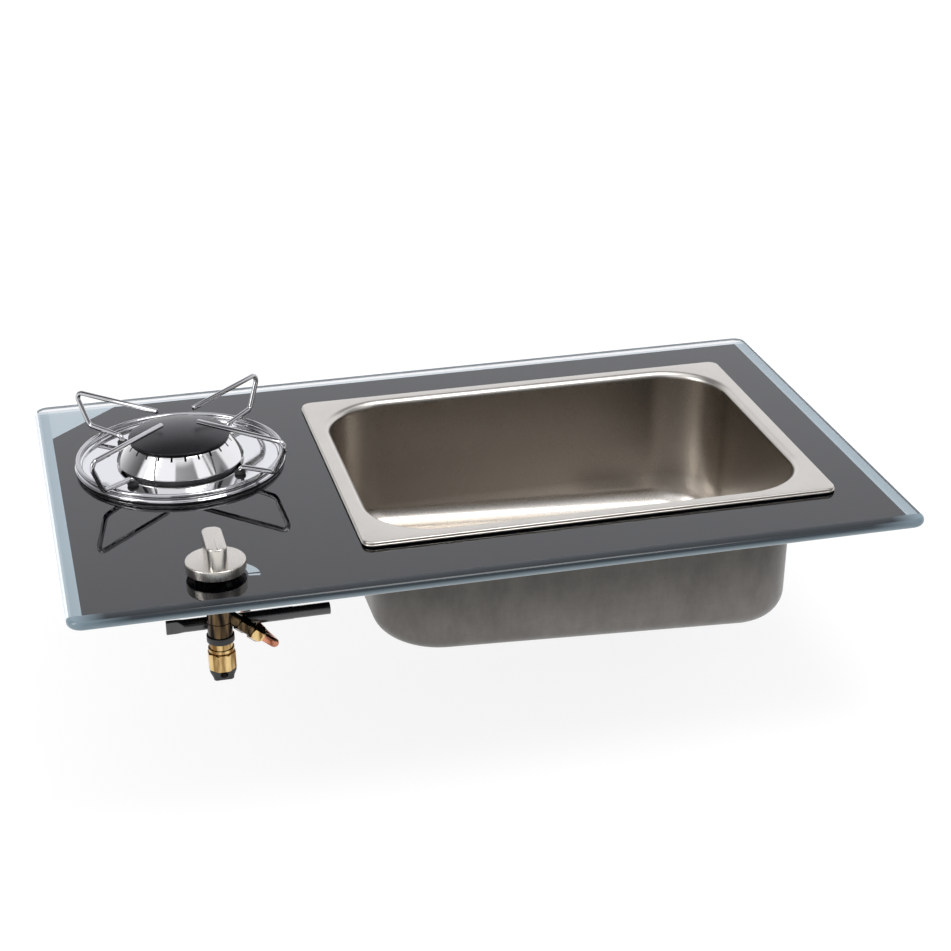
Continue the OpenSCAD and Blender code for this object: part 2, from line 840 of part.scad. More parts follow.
module waste_body() {
  cup_low = -waste_flange_t - waste_cup_h;
  inside_r = waste_cup_r - waste_wall;
  color([0.1, 0.1, 0.11])
    at_drain(cup_top_z)
      difference() {
        union() {
          translate([0, 0, -waste_flange_t])
            cylinder(h = waste_flange_t, r = flange_r + 2);
          translate([0, 0, cup_low])
            cylinder(h = waste_cup_h + cut, r = waste_cup_r);
          translate([0, 0, cup_low - spigot_len])
            cylinder(h = spigot_len + cut, r = spigot_r);
        }
        difference() {
          translate([0, 0, cup_low + waste_wall])
            cylinder(h = waste_cup_h + waste_flange_t, r = inside_r);
          translate([-bridge_w / 2, -waste_cup_r, -waste_flange_t - bridge_h])
            cube([bridge_w, 2 * waste_cup_r, bridge_h]);
        }
        translate([0, 0, cup_low - spigot_len - cut])
          cylinder(h = spigot_len + waste_wall + 2 * cut, r = spigot_r - waste_wall);
        translate([0, 0, -waste_flange_t - bridge_h - cut])
          cylinder(h = bridge_h + 2 * cut, r = waste_screw_r + fit_gap, $fn = 32);
      }
}

module waste_screw() {
  head_h = 2;
  shank = recess_z + flange_t - cup_top_z + waste_flange_t + bridge_h - 1;
  color([0.8, 0.8, 0.8])
    at_drain(recess_z + flange_t) {
      cylinder(h = head_h, r = 2 * waste_screw_r, $fn = 48);
      translate([0, 0, -shank])
        cylinder(h = shank, r = waste_screw_r, $fn = 32);
    }
}

// Burner

// Section of the tray: floor, sloped step and bead, then a short lip
module tray_section() {
  steps = 20;
  hole_r = cup_r + 1.5;
  lip_angle = asin((tray_lip_z + tray_t - bead_z) / bead_r);
  mid = [bead_ring_r, bead_z];
  turn = 150;
  step_r = bead_ring_r + bead_r * cos(turn) - tray_t;
  top_side = concat(
    [[hole_r, tray_z], [step_r, tray_z]],
    arc(mid, bead_r, turn, lip_angle, steps),
    [[tray_r, tray_lip_z + tray_t]]
  );
  low_angle = asin((tray_lip_z - bead_z) / (bead_r - tray_t));
  low_side = concat(
    [[tray_r, tray_lip_z]],
    arc(mid, bead_r - tray_t, low_angle, turn, steps),
    [[step_r + tray_t / 2, tray_z - tray_t], [hole_r, tray_z - tray_t]]
  );
  polygon(concat(top_side, low_side));
}

module drip_tray() {
  color([0.85, 0.86, 0.86])
    difference() {
      at_hob(0)
        rotate_extrude($fn = 128)
          tray_section();
      at_burner_screws(0)
        cylinder(h = tray_z + cut, r = burner_screw_r + free_gap, $fn = 32);
      translate([sensor_at[0], sensor_at[1], 0])
        cylinder(h = tray_z + cut, r = sensor_r + free_gap, $fn = 32);
    }
}

module tray_gasket() {
  color([0.05, 0.05, 0.05])
    at_hob(glass_t)
      ring(tray_r - 0.2, tray_hole_r + 0.6, tray_gasket_t);
}

module at_burner_screws(z) {
  for (i = [0:burner_screw_count - 1])
    at_hob(z)
      rotate([0, 0, 30 + 360 * i / burner_screw_count])
        translate([burner_screw_ring, 0, 0])
          children();
}

module burner_cup() {
  window_w = 14;
  window_h = 8;
  inside_r = cup_r - cup_wall;
  floor_top = -cup_depth + cup_wall + 1;
  color([0.62, 0.63, 0.64])
    difference() {
      union() {
        at_hob(-cup_depth)
          cylinder(h = cup_depth + tray_z + cut, r = cup_r);
        at_hob(tray_z)
          cylinder(h = cup_flange_t, r = cup_flange_r);
      }
      at_hob(floor_top)
        cylinder(h = cup_depth + tray_z + cup_flange_t, r = inside_r);
      at_hob(-cup_depth - cut)
        cylinder(h = cup_depth, r = injector_r + fit_gap, $fn = 48);
      for (a = [0, 90, 180, 270])
        at_hob(floor_top + 3)
          rotate([0, 0, a])
            translate([0, -window_w / 2, 0])
              cube([2 * cup_r, window_w, window_h]);
      at_burner_screws(tray_z - cut)
        cylinder(h = cup_flange_t - 0.6 + cut, r = burner_screw_r + fit_gap, $fn = 32);
    }
}

module clamp_ring() {
  color([0.72, 0.72, 0.72])
    difference() {
      at_hob(-ring_t)
        ring(ring_out_r, cup_r + fit_gap, ring_t);
      at_burner_screws(-ring_t - cut)
        cylinder(h = ring_t + 2 * cut, r = burner_screw_r + fit_gap, $fn = 32);
      translate([sensor_at[0], sensor_at[1], -ring_t - cut])
        cylinder(h = ring_t + 2 * cut, r = sensor_r + fit_gap, $fn = 32);
    }
}

module burner_screws() {
  shank = ring_t + tray_z + cup_flange_t - 1;
  color([0.7, 0.7, 0.72])
    at_burner_screws(-ring_t) {
      cylinder(h = shank, r = burner_screw_r, $fn = 32);
      translate([0, 0, -screw_head_h])
        cylinder(h = screw_head_h, r = screw_head_r, $fn = 32);
    }
}

// Outer radius of the crown's skirt, at a height above the crown's lower edge
function skirt_r(z) =
  let (s = max(z - crown_edge_h, 0) / (crown_h - crown_edge_h))
    crown_low_r + (crown_top_r - crown_low_r) * s + crown_swell * 4 * s * (1 - s);

// Section of the crown: skirt, flat shelf with a mixing tube, and a foot that turns inward
module crown_section() {
  steps = 10;
  skin_w = 1.15 * crown_t;
  foot_in = cup_flange_r - 6;
  foot_t = 1;
  mix_in = mix_r - crown_t;
  shelf_z = crown_h - slot_h - 0.6 - crown_t;
  slope = [for (i = [0:steps]) let (z = crown_edge_h + (crown_h - crown_edge_h) * i / steps) [skirt_r(z), z]];
  skirt = concat([[crown_low_r, 0]], slope);
  inner = [for (i = [steps + 1:-1:0]) skirt[i] - [skin_w, 0]];
  polygon(concat(skirt, inner));
  translate([foot_in, 0])
    square([crown_low_r - skin_w / 2 - foot_in, foot_t]);
  translate([mix_in, shelf_z])
    square([skirt_r(shelf_z) - skin_w / 2 - mix_in, crown_t]);
  translate([mix_in, crown_h - mix_len])
    square([crown_t, mix_len - crown_h + shelf_z + crown_t / 2]);
}

module burner_crown() {
  color([0.88, 0.88, 0.88])
    at_hob(crown_z)
      difference() {
        rotate_extrude($fn = 128)
          crown_section();
        for (i = [0:slots - 1])
          rotate([0, 0, 360 * i / slots])
            translate([crown_top_r - 4, -slot_w / 2, crown_h - slot_h])
              cube([8, slot_w, slot_h + cut]);
      }
}

// Section of the cap: dome, thin edge, neck and a ring that drops inside the crown
module cap_section() {
  steps = 12;
  edge_z = cap_edge + cap_rim_t;
  key_in = cap_neck_r - 3.4;
  key_out = crown_top_r - 1.15 * crown_t - 2 * free_gap;
  key_h = 1.6;
  dome_r = (cap_r * cap_r + dome_h * dome_h) / (2 * dome_h);
  dome = [
    for (i = [0:steps])
      let (r = cap_r * (1 - i / steps)) [r, edge_z + sqrt(dome_r * dome_r - r * r) - dome_r + dome_h]
  ];
  polygon(concat([[0, cap_edge - 0.5], [cap_neck_r, cap_edge - 0.5], [cap_neck_r, cap_edge], [cap_r, cap_edge]], dome));
  translate([cap_neck_r - 1.5, 0])
    square([crown_top_r - cap_neck_r + 1, 0.6]);
  translate([cap_neck_r - 3.4, 0])
    square([3.4, cap_edge]);
  translate([key_in, -key_h])
    square([key_out - key_in, key_h + 0.4]);
}

module burner_cap() {
  color([0.06, 0.06, 0.065])
    at_hob(crown_top)
      rotate_extrude($fn = 128)
        cap_section();
}

// Pan support

// Corners of one arm in the plane through the burner's axis: distance out, height
arm_path = [
  [feet_r, tray_z + foot_h - foot_grip],
  [feet_r, arm_low_z + 0.2],
  [arm_turn_r, arm_low_z + arm_rise],
  [arm_out_r, arm_z],
  [arm_tip_r, arm_z]
];

module pan_support() {
  sides_n = 12;
  arm = [for (q = bent(arm_path, bend_r, 6)) [q[0], 0, q[1]]];
  color([0.86, 0.86, 0.85])
    at_hob(0) {
      translate([0, 0, wire_ring_z])
        rotate_extrude($fn = 128)
          translate([wire_ring_r, 0])
            circle(wire_r, $fn = 32);
      for (a = arm_angles)
        rotate([0, 0, a])
          tube_along(arm, wire_r, sides_n, [1, 0, 0]);
    }
}

module support_feet() {
  color([0.06, 0.06, 0.06])
    for (a = arm_angles)
      at_hob(tray_z)
        rotate([0, 0, a])
          translate([feet_r, 0, 0])
            difference() {
              cylinder(h = foot_h, r = foot_r, $fn = 48);
              translate([0, 0, foot_h - foot_grip])
                cylinder(h = foot_grip + cut, r = foot_bore_r, $fn = 32);
            }
}

// Gas feed

module injector() {
  tip_h = 6;
  color([0.78, 0.62, 0.3])
    at_hob(0) {
      translate([0, 0, injector_end])
        cylinder(h = -injector_end - cup_depth + cup_wall + 4, r = injector_r, $fn = 48);
      translate([0, 0, -cup_depth + cup_wall + 1])
        hex_bar(2.6 * injector_r, 3);
      translate([0, 0, -cup_depth + cup_wall + 4])
        cylinder(h = tip_h, r1 = injector_r, r2 = 2, $fn = 48);
    }
}

module pipe_nut() {
  low = injector_end - 4;
  color([0.78, 0.62, 0.3])
    at_hob(low)
      difference() {
        hex_bar(pipe_nut_af, pipe_nut_h);
        translate([0, 0, -cut])
          cylinder(h = pipe_nut_h, r = pipe_r + fit_gap, $fn = 48);
        translate([0, 0, injector_end - low])
          cylinder(h = pipe_nut_h, r = injector_r + fit_gap, $fn = 48);
      }
}

module gas_pipe() {
  rise = injector_end - 8;
  tip = gland_end + 9;
  route = concat(
    [outlet_point(pipe_from), outlet_point(gland_end), outlet_point(tip)],
    placed(tap_at, pipe_near),
    placed(hob_at, pipe_far),
    placed(hob_at, [[0, -3, rise - 4], [0, 0, rise], [0, 0, rise + 4], [0, 0, injector_end]])
  );
  color([0.75, 0.44, 0.3])
    tube_along(curve(route, 4), pipe_r, 12, [0, 1, 0]);
}

// Knob

module grip_shape(inset) {
  intersection() {
    circle(grip_len / 2 - inset);
    round_rect(grip_w - 2 * inset, grip_len - 1 - 2 * inset, grip_corner_r - inset);
  }
}

// Section of the knob's disc with a softened edge
module knob_disc_section() {
  soft = 0.8;
  r = knob_d / 2;
  polygon(concat(
    [[0, 0], [r - soft / 2, 0], [r, soft / 2]],
    arc([r - soft, knob_disc_h - soft], soft, 0, 90, 5),
    [[0, knob_disc_h]]
  ));
}

module knob() {
  soft = 0.9;
  line_w = 0.6;
  line_t = 0.25;
  line_from = -15.5;
  line_len = 12.5;
  grip_top = knob_top + grip_h;
  color([0.76, 0.74, 0.71])
    difference() {
      union() {
        at_tap(knob_z)
          rotate_extrude()
            knob_disc_section();
        at_tap(knob_top - 0.5)
          linear_extrude(grip_h + 0.5 - soft)
            grip_shape(0);
        at_tap(grip_top - soft)
          hull() {
            linear_extrude(0.01)
              grip_shape(0);
            translate([0, 0, soft * 0.6])
              linear_extrude(0.01)
                grip_shape(soft * 0.3);
            translate([0, 0, soft - 0.01])
              linear_extrude(0.01)
                grip_shape(soft);
          }
      }
      difference() {
        at_tap(knob_z - cut)
          cylinder(h = knob_pocket_top - knob_z + cut, r = knob_pocket_r);
        at_tap(socket_low)
          cylinder(h = knob_top - socket_low, r = socket_r);
      }
      at_tap(knob_z - cut)
        cylinder(h = spindle_top - knob_z + cut + 0.5, r = spindle_r + run_gap, $fn = 48);
      at_tap(grip_top - line_t)
        translate([-line_w / 2, line_from, 0])
          cube([line_w, line_len, line_t + cut]);
    }
}

module spindle() {
  groove_r = spindle_r - 0.6;
  flat = 1.1;
  color([0.7, 0.71, 0.72])
    difference() {
      union() {
        at_tap(shoulder_z)
          cylinder(h = spindle_top - shoulder_z, r = spindle_r, $fn = 48);
        at_tap(tang_end)
          cylinder(h = tang_len + 0.5, r = tang_r, $fn = 48);
        at_tap(pin_end)
          cylinder(h = tang_end - pin_end + 0.5, r = pin_r, $fn = 24);
      }
      at_tap(shoulder_z + spindle_clip_t)
        ring(spindle_r + cut, groove_r, spindle_clip_t);
      at_tap(socket_low)
        translate([-spindle_r, spindle_r - flat, 0])
          cube([2 * spindle_r, flat + cut, spindle_top]);
    }
}

module spindle_clip() {
  color([0.5, 0.5, 0.52])
    at_tap(shoulder_z + spindle_clip_t)
      ring(spindle_r + 1.3, spindle_r - 0.6, spindle_clip_t);
}

// Points of the spring's wire
function spring_path() =
  let (n = spring_turns * 10)
    [for (i = [0:n]) [
      tap_at[0] + spring_r * cos(36 * i),
      tap_at[1] + spring_r * sin(36 * i),
      spring_low + (spring_high - spring_low) * i / n
    ]];

module return_spring() {
  color([0.6, 0.6, 0.62])
    tube_along(spring_path(), spring_wire_r, 6, [1, 0, 0]);
}

// Tap

module neck_nut() {
  color([0.72, 0.6, 0.32])
    at_tap(glass_t)
      difference() {
        hex_bar(neck_nut_af, neck_nut_h);
        translate([0, 0, -cut])
          cylinder(h = neck_nut_h + 2 * cut, r = neck_r + fit_gap);
      }
}

module neck_washer() {
  color([0.55, 0.2, 0.15])
    at_tap(neck_washer_z)
      ring(head_r, neck_r + fit_gap, washer_t);
}

module at_cover_screws(z) {
  for (a = [45, 225])
    at_tap(z)
      rotate([0, 0, a])
        translate([cover_screw_ring, 0, 0])
          children();
}

module tap_cover() {
  color([0.2, 0.19, 0.18])
    difference() {
      union() {
        at_tap(chamber_top)
          cylinder(h = cover_t, r = head_r);
        at_tap(neck_washer_z - 0.5)
          cylinder(h = neck_top - neck_washer_z + 0.5, r = neck_r);
      }
      at_tap(chamber_top - cut)
        cylinder(h = neck_top - chamber_top + 2 * cut, r = spindle_r + run_gap);
      at_cover_screws(chamber_top - cut)
        cylinder(h = cover_t - 0.6 + cut, r = cover_screw_r + fit_gap, $fn = 24);
    }
}

module cover_screws() {
  shank = head_depth + chamber_top + 2.5;
  color([0.6, 0.6, 0.6])
    at_cover_screws(-head_depth) {
      cylinder(h = shank, r = cover_screw_r, $fn = 24);
      translate([0, 0, -cover_head_h])
        cylinder(h = cover_head_h, r = cover_head_r, $fn = 24);
    }
}

module tap_body() {
  branch_r = 4.4;
  seat_hole_r = 2.2;
  pad_top = saddle_h / 2;
  color([0.16, 0.15, 0.14])
    difference() {
      union() {
        at_tap(-head_depth)
          cylinder(h = head_depth + chamber_top, r = head_r);
        at_tap(-column_depth)
          cylinder(h = column_depth - head_depth + cut, r = column_r);
        along_outlet(0)
          cylinder(h = outlet_nut_from, r = branch_r);
        difference() {
          translate([tap_at[0] - saddle_w / 2, tap_at[1], -rail_depth - pad_top])
            cube([saddle_w, rail_y - tap_at[1], saddle_h]);
          at_tap(-rail_depth - pad_top - cut)
            cylinder(h = rail_depth + pad_top - column_depth + collar_h + cut, r = collar_r + fit_gap);
        }
      }
      at_tap(plug_top)
        cylinder(h = head_depth, r = chamber_r);
      at_tap(plug_end - 0.4)
        cylinder(h = plug_top - plug_end + 0.4, r1 = plug_low_r + run_gap, r2 = plug_r + run_gap);
      at_tap(seat_top - cut)
        cylinder(h = plug_end - seat_top + cut, r = plug_low_r + run_gap);
      at_tap(seat_top - 2 * valve_seat_t)
        cylinder(h = 3 * valve_seat_t, r = seat_hole_r);
      at_tap(-column_depth - cut)
        cylinder(h = column_depth + seat_top - valve_seat_t + cut, r = valve_r + free_gap);
      along_outlet(column_r / 2)
        cylinder(h = outlet_nut_from, r = 2);
      translate([tap_at[0] - rail_left, rail_y, -rail_depth])
        rotate([0, 90, 0])
          cylinder(h = 2 * rail_left, r = rail_r + fit_gap);
      translate([tap_at[0], rail_y, -rail_depth])
        rotate([90, 0, 0])
          cylinder(h = rail_r + column_r, r = 1.5, $fn = 32);
      for (side = [-1, 1])
        translate([tap_at[0], rail_y - pad_deep, -rail_depth + side * saddle_screw_z])
          rotate([-90, 0, 0])
            cylinder(h = pad_deep + cut, r = saddle_screw_r + fit_gap, $fn = 24);
      at_cover_screws(-head_depth - cut)
        cylinder(h = head_depth, r = cover_screw_r + fit_gap, $fn = 24);
    }
}

module tap_plug() {
  color([0.72, 0.58, 0.3])
    difference() {
      at_tap(plug_end)
        cylinder(h = plug_top - plug_end, r1 = plug_low_r, r2 = plug_r);
      at_tap(socket_end)
        cylinder(h = plug_top - socket_end + cut, r = tang_r + run_gap, $fn = 48);
      at_tap(plug_end - cut)
        cylinder(h = plug_top - plug_end, r = pin_r + free_gap, $fn = 24);
      along_outlet(0)
        cylinder(h = column_r, r = 1.4, $fn = 24);
    }
}

module safety_valve() {
  stem_r = 1;
  color([0.5, 0.5, 0.52]) {
    at_tap(valve_top - valve_disc_t)
      cylinder(h = valve_disc_t, r = valve_r - 0.2, $fn = 48);
    at_tap(armature_z)
      cylinder(h = valve_top - armature_z - valve_disc_t / 2, r = stem_r, $fn = 32);
    at_tap(armature_z)
      cylinder(h = 1, r = valve_r, $fn = 48);
  }
}

module lock_ring() {
  color([0.08, 0.08, 0.08])
    at_tap(-column_depth)
      ring(collar_r, column_r + fit_gap, collar_h);
}

module magnet_housing() {
  groove_h = 1;
  waist_r = housing_r - 1;
  color([0.78, 0.62, 0.32])
    at_tap(housing_low)
      difference() {
        union() {
          cylinder(h = groove_h, r = housing_r - 1.2);
          translate([0, 0, groove_h])
            cylinder(h = 2.2, r = housing_r);
          translate([0, 0, groove_h + 2.2])
            cylinder(h = housing_h - groove_h - 2.2, r = waist_r);
        }
        translate([0, 0, -cut])
          cylinder(h = housing_h + 2 * cut, r = housing_bore);
      }
}

module magnet_unit() {
  color([0.55, 0.56, 0.58])
    at_tap(brass_nut_low)
      cylinder(h = magnet_top - brass_nut_low, r = magnet_r);
}

// Bar with eight flats, one of them to the front
module octagon_bar(af, h) {
  rotate([0, 0, 22.5])
    cylinder(h = h, d = af / cos(22.5), $fn = 8);
}

module magnet_nut() {
  chamfer = 0.7;
  color([0.8, 0.64, 0.33])
    at_tap(brass_nut_low)
      difference() {
        intersection() {
          octagon_bar(brass_nut_af, brass_nut_h);
          union() {
            cylinder(h = brass_nut_h - chamfer, r = brass_nut_af);
            translate([0, 0, brass_nut_h - chamfer])
              cylinder(h = chamfer, r1 = brass_nut_af / 2 + chamfer, r2 = brass_nut_af / 2);
          }
        }
        translate([0, 0, -cut])
          cylinder(h = brass_nut_h + 2 * cut, r = housing_bore);
      }
}

module thermocouple_plug() {
  low = lead_plug_low;
  color([0.07, 0.07, 0.075])
    at_tap(lead_plug_low_z)
      difference() {
        hull() {
          translate([-low / 2, -low / 2, 0])
            cube([low, low, 0.6]);
          translate([0, 0, lead_plug_h - 1.5])
            octagon_bar(brass_nut_af - 0.3, 1.5);
        }
        translate([0, -lead_plug_low, lead_plug_h * 0.1])
          rotate([-52, 0, 0])
            cylinder(h = 3 * lead_plug_h, r = 2.6, center = true, $fn = 32);
        translate([0, lead_socket_y, lead_start_z - lead_plug_low_z])
          rotate([-90, 0, 0])
            cylinder(h = lead_plug_low, r = lead_r + free_gap, $fn = 32);
      }
}

module thermocouple_lead() {
  from_y = lead_socket_y + run_gap;
  route = concat(
    placed(tap_at, [[0, from_y, lead_start_z], [0, from_y + 2, lead_start_z], [0, from_y + 4, lead_start_z]]),
    placed(tap_at, lead_near),
    placed(hob_at, lead_far),
    placed(sensor_at, [[0, 0, sensor_low - 6], [0, 0, sensor_low - 3], [0, 0, sensor_low]])
  );
  color([0.72, 0.45, 0.32])
    tube_along(curve(route, 3), lead_r, 8, [1, 0, 0]);
}

module thermocouple() {
  color([0.6, 0.6, 0.6])
    translate([sensor_at[0], sensor_at[1], sensor_low]) {
      cylinder(h = glass_t + sensor_h - sensor_low - sensor_r, r = sensor_r, $fn = 48);
      translate([0, 0, glass_t + sensor_h - sensor_low - sensor_r])
        sphere(sensor_r, $fn = 48);
    }
}

module sensor_nut() {
  nut_h = 4;
  color([0.72, 0.58, 0.3])
    translate([sensor_at[0], sensor_at[1], -ring_t - nut_h])
      difference() {
        hex_bar(9, nut_h);
        translate([0, 0, -cut])
          cylinder(h = nut_h + 2 * cut, r = sensor_r, $fn = 48);
      }
}

// Outlet

module outlet_nut() {
  color([0.12, 0.11, 0.1])
    along_outlet(outlet_nut_from)
      difference() {
        union() {
          hex_bar(outlet_nut_af, outlet_nut_len * 0.62);
          cylinder(h = outlet_nut_len, r = outlet_nut_af / 2 - 0.4);
        }
        translate([0, 0, -cut])
          cylinder(h = outlet_nut_len + 2 * cut, r = pipe_r + fit_gap, $fn = 48);
      }
}

module pipe_gland() {
  color([0.82, 0.66, 0.34])
    along_outlet(outlet_end)
      difference() {
        union() {
          hex_bar(gland_af, gland_len * 0.8);
          cylinder(h = gland_len, r = gland_af / 2 - 1);
        }
        translate([0, 0, -cut])
          cylinder(h = gland_len + 2 * cut, r = pipe_r + fit_gap, $fn = 48);
      }
}

// Rail

// Ring of points of the rail's pressed end: place along the rail, height and end radius
function rail_ring(x, up, r) = [
  for (i = [0:rail_sides - 1])
    let (a = -360 * (i + 0.5) / rail_sides) [x, r * cos(a), sign(sin(a)) * (up / 2 - r) + r * sin(a)]
];

module gas_rail() {
  flat_h = 10;
  flat_r = 1.5;
  taper = 5;
  joint_r = rail_r - 0.12;
  round_from = rail_flat_len + taper;
  rail_len = rail_left + rail_right;
  rings = [
    rail_ring(0, flat_h, flat_r),
    rail_ring(rail_flat_len, flat_h, flat_r),
    rail_ring(round_from, 2 * joint_r, joint_r),
    rail_ring(round_from + 2, 2 * joint_r, joint_r)
  ];
  color([0.1, 0.1, 0.1])
    translate([tap_at[0] - rail_left, rail_y, -rail_depth]) {
      difference() {
        union() {
          translate([round_from, 0, 0])
            rotate([0, 90, 0])
              cylinder(h = rail_len - round_from - inlet_len, r = rail_r);
          translate([rail_len - inlet_len, 0, 0])
            rotate([0, 90, 0])
              cylinder(h = inlet_len, d = inlet_d);
        }
        translate([round_from + 3, 0, 0])
          rotate([0, 90, 0])
            cylinder(h = rail_len, r = inlet_d / 2 - rail_wall);
        translate([rail_left, 0, 0])
          rotate([90, 0, 0])
            cylinder(h = 2 * rail_r, r = 1.5, $fn = 32);
      }
      skin(rings, [[0, 0, 0], [round_from + 2, 0, 0]]);
    }
}

module rail_saddle() {
  color([0.6, 0.6, 0.62])
    translate([tap_at[0] - saddle_w / 2, rail_y, -rail_depth])
      difference() {
        union() {
          intersection() {
            rotate([0, 90, 0])
              cylinder(h = saddle_w, r = saddle_r);
            translate([0, 0, -saddle_r])
              cube([saddle_w, saddle_r, 2 * saddle_r]);
          }
          translate([0, 0, -saddle_h / 2])
            cube([saddle_w, saddle_t, saddle_h]);
        }
        translate([-cut, 0, 0])
          rotate([0, 90, 0])
            cylinder(h = saddle_w + 2 * cut, r = rail_r + fit_gap);
        for (side = [-1, 1])
          translate([saddle_w / 2, -cut, side * saddle_screw_z])
            rotate([-90, 0, 0])
              cylinder(h = 4 * saddle_t + cut, r = saddle_screw_r + fit_gap, $fn = 24);
      }
}

module saddle_screws() {
  head_h = 1.4;
  color([0.65, 0.65, 0.66])
    for (side = [-1, 1])
      translate([tap_at[0], rail_y + saddle_t, -rail_depth + side * saddle_screw_z])
        rotate([90, 0, 0]) {
          cylinder(h = saddle_t + pad_deep - 0.4, r = saddle_screw_r, $fn = 24);
          translate([0, 0, -head_h])
            cylinder(h = head_h, r = saddle_head_r, $fn = 24);
        }
}

glass_plate();
enamel_print();
sink_basin();
sink_gasket();
bowl_clips();
clip_screws();
waste_flange();
waste_seal();
waste_body();
waste_screw();
drip_tray();
tray_gasket();
burner_cup();
clamp_ring();
burner_screws();
burner_crown();
burner_cap();
pan_support();
support_feet();
injector();
pipe_nut();
gas_pipe();
knob();
spindle();
spindle_clip();
return_spring();
neck_nut();
neck_washer();
tap_cover();
cover_screws();
tap_body();
tap_plug();
safety_valve();
lock_ring();
magnet_housing();
magnet_unit();
magnet_nut();
thermocouple_plug();
thermocouple_lead();
thermocouple();
sensor_nut();
outlet_nut();
pipe_gland();
gas_rail();
rail_saddle();
saddle_screws();
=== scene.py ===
import json
import math

import bmesh
import bpy
from mathutils import Matrix, Vector
from mathutils.geometry import tessellate_polygon


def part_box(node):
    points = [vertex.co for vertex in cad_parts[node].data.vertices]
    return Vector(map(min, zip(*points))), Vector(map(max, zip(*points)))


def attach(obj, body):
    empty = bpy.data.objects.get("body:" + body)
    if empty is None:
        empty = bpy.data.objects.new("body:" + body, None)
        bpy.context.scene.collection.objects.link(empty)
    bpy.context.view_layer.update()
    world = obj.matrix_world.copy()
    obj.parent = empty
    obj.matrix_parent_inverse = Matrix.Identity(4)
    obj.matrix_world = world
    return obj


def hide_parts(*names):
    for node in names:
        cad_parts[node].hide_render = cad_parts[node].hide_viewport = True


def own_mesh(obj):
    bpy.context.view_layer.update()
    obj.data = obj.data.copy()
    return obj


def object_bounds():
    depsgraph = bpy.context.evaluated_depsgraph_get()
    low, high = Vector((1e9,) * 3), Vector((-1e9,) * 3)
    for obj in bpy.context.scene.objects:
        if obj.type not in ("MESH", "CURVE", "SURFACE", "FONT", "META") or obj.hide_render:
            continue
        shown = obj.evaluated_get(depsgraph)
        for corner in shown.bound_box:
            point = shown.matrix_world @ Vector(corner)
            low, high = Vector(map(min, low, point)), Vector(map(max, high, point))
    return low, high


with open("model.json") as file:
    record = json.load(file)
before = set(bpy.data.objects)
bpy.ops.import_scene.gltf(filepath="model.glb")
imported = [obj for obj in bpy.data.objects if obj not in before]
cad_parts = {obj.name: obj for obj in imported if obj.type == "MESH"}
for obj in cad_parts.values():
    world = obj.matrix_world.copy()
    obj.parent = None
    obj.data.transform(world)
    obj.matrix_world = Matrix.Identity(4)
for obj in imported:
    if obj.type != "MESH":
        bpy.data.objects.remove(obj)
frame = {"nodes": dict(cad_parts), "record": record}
cad_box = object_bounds()

MM = 0.001

# Sizes, in millimetres, as in the part
PLATE_W, PLATE_D, PLATE_CORNER = 560.0, 350.0, 10.0
GLASS_T = 6.0
HOB = (-185.0, 50.0)
TAP = (-184.0, -131.0)
DRAIN = (167.0, 50.0)
SINK_X = 75.0
RIM_W, RIM_D, RIM_CORNER = 326.0, 244.0, 8.0
RIM_TOP, HEM_H, HEM_W = 9.8, 3.0, 3.2
MOUTH_INSET, LIP_R, BOWL_CORNER = 13.0, 5.0, 46.0
BOWL_DEPTH, FLOOR_R, LEAN, FALL, STEEL_T = 103.0, 16.0, 2.0, 0.057, 1.0
FLOOR_Z = RIM_TOP - BOWL_DEPTH
LIP_Z = RIM_TOP - LIP_R
FLOOR_INSET = MOUTH_INSET + math.tan(math.radians(LEAN)) * (LIP_Z - FLOOR_Z - FLOOR_R)
RECESS_R, RECESS_TURN_R, RECESS_Z, DRAIN_R = 34.0, 2.0, -104.444, 20.0

# Camera: its right, down and forward axes in the part's frame, and its place in metres
CAM_AXES = (
    (0.970493, -0.240914, -0.010191),
    (-0.109107, -0.40105, -0.909535),
    (0.215033, 0.883809, -0.415502),
)
CAM_AT = (-0.30418, -1.31603, 0.61076)
CAM_FOCAL_PX = 2110.06
IMAGE_PX = 951
SENSOR = 36.0

cam_data = bpy.data.cameras.new("camera")
cam = bpy.data.objects.new("camera", cam_data)
bpy.context.scene.collection.objects.link(cam)
right, down, forward = (Vector(a).normalized() for a in CAM_AXES)
turn = Matrix((right, -down, -forward)).transposed()
cam.matrix_world = Matrix.Translation(CAM_AT) @ turn.to_4x4()
cam_data.sensor_width = SENSOR
cam_data.lens = CAM_FOCAL_PX / IMAGE_PX * SENSOR
cam_data.clip_start = 0.05
cam_data.clip_end = 200
bpy.context.scene.camera = cam


# Sockets of a colour mix node
MIX_SHARE, COLOR_A, COLOR_B, COLOR_OUT = 0, 6, 7, 2


# Materials: m is a material or the world, both of which have a node tree
def lin(r, g, b):
    """Linear colour from 0-255 display values."""
    def one(c):
        c /= 255
        return c / 12.92 if c <= 0.04045 else ((c + 0.055) / 1.055) ** 2.4
    return (one(r), one(g), one(b), 1.0)


def material(name, base, metallic=0.0, rough=0.5, **sockets):
    m = bpy.data.materials.new(name)
    m.use_nodes = True
    bsdf = m.node_tree.nodes["Principled BSDF"]
    bsdf.inputs["Base Color"].default_value = base
    bsdf.inputs["Metallic"].default_value = metallic
    bsdf.inputs["Roughness"].default_value = rough
    for key, value in sockets.items():
        bsdf.inputs[key.replace("_", " ")].default_value = value
    return m


def coords(m, scale=(1, 1, 1)):
    """Object coordinates in metres, stretched by a scale."""
    nodes, links = m.node_tree.nodes, m.node_tree.links
    where = nodes.new("ShaderNodeTexCoord")
    mapping = nodes.new("ShaderNodeMapping")
    mapping.inputs["Scale"].default_value = scale
    links.new(where.outputs["Object"], mapping.inputs["Vector"])
    return mapping.outputs["Vector"]


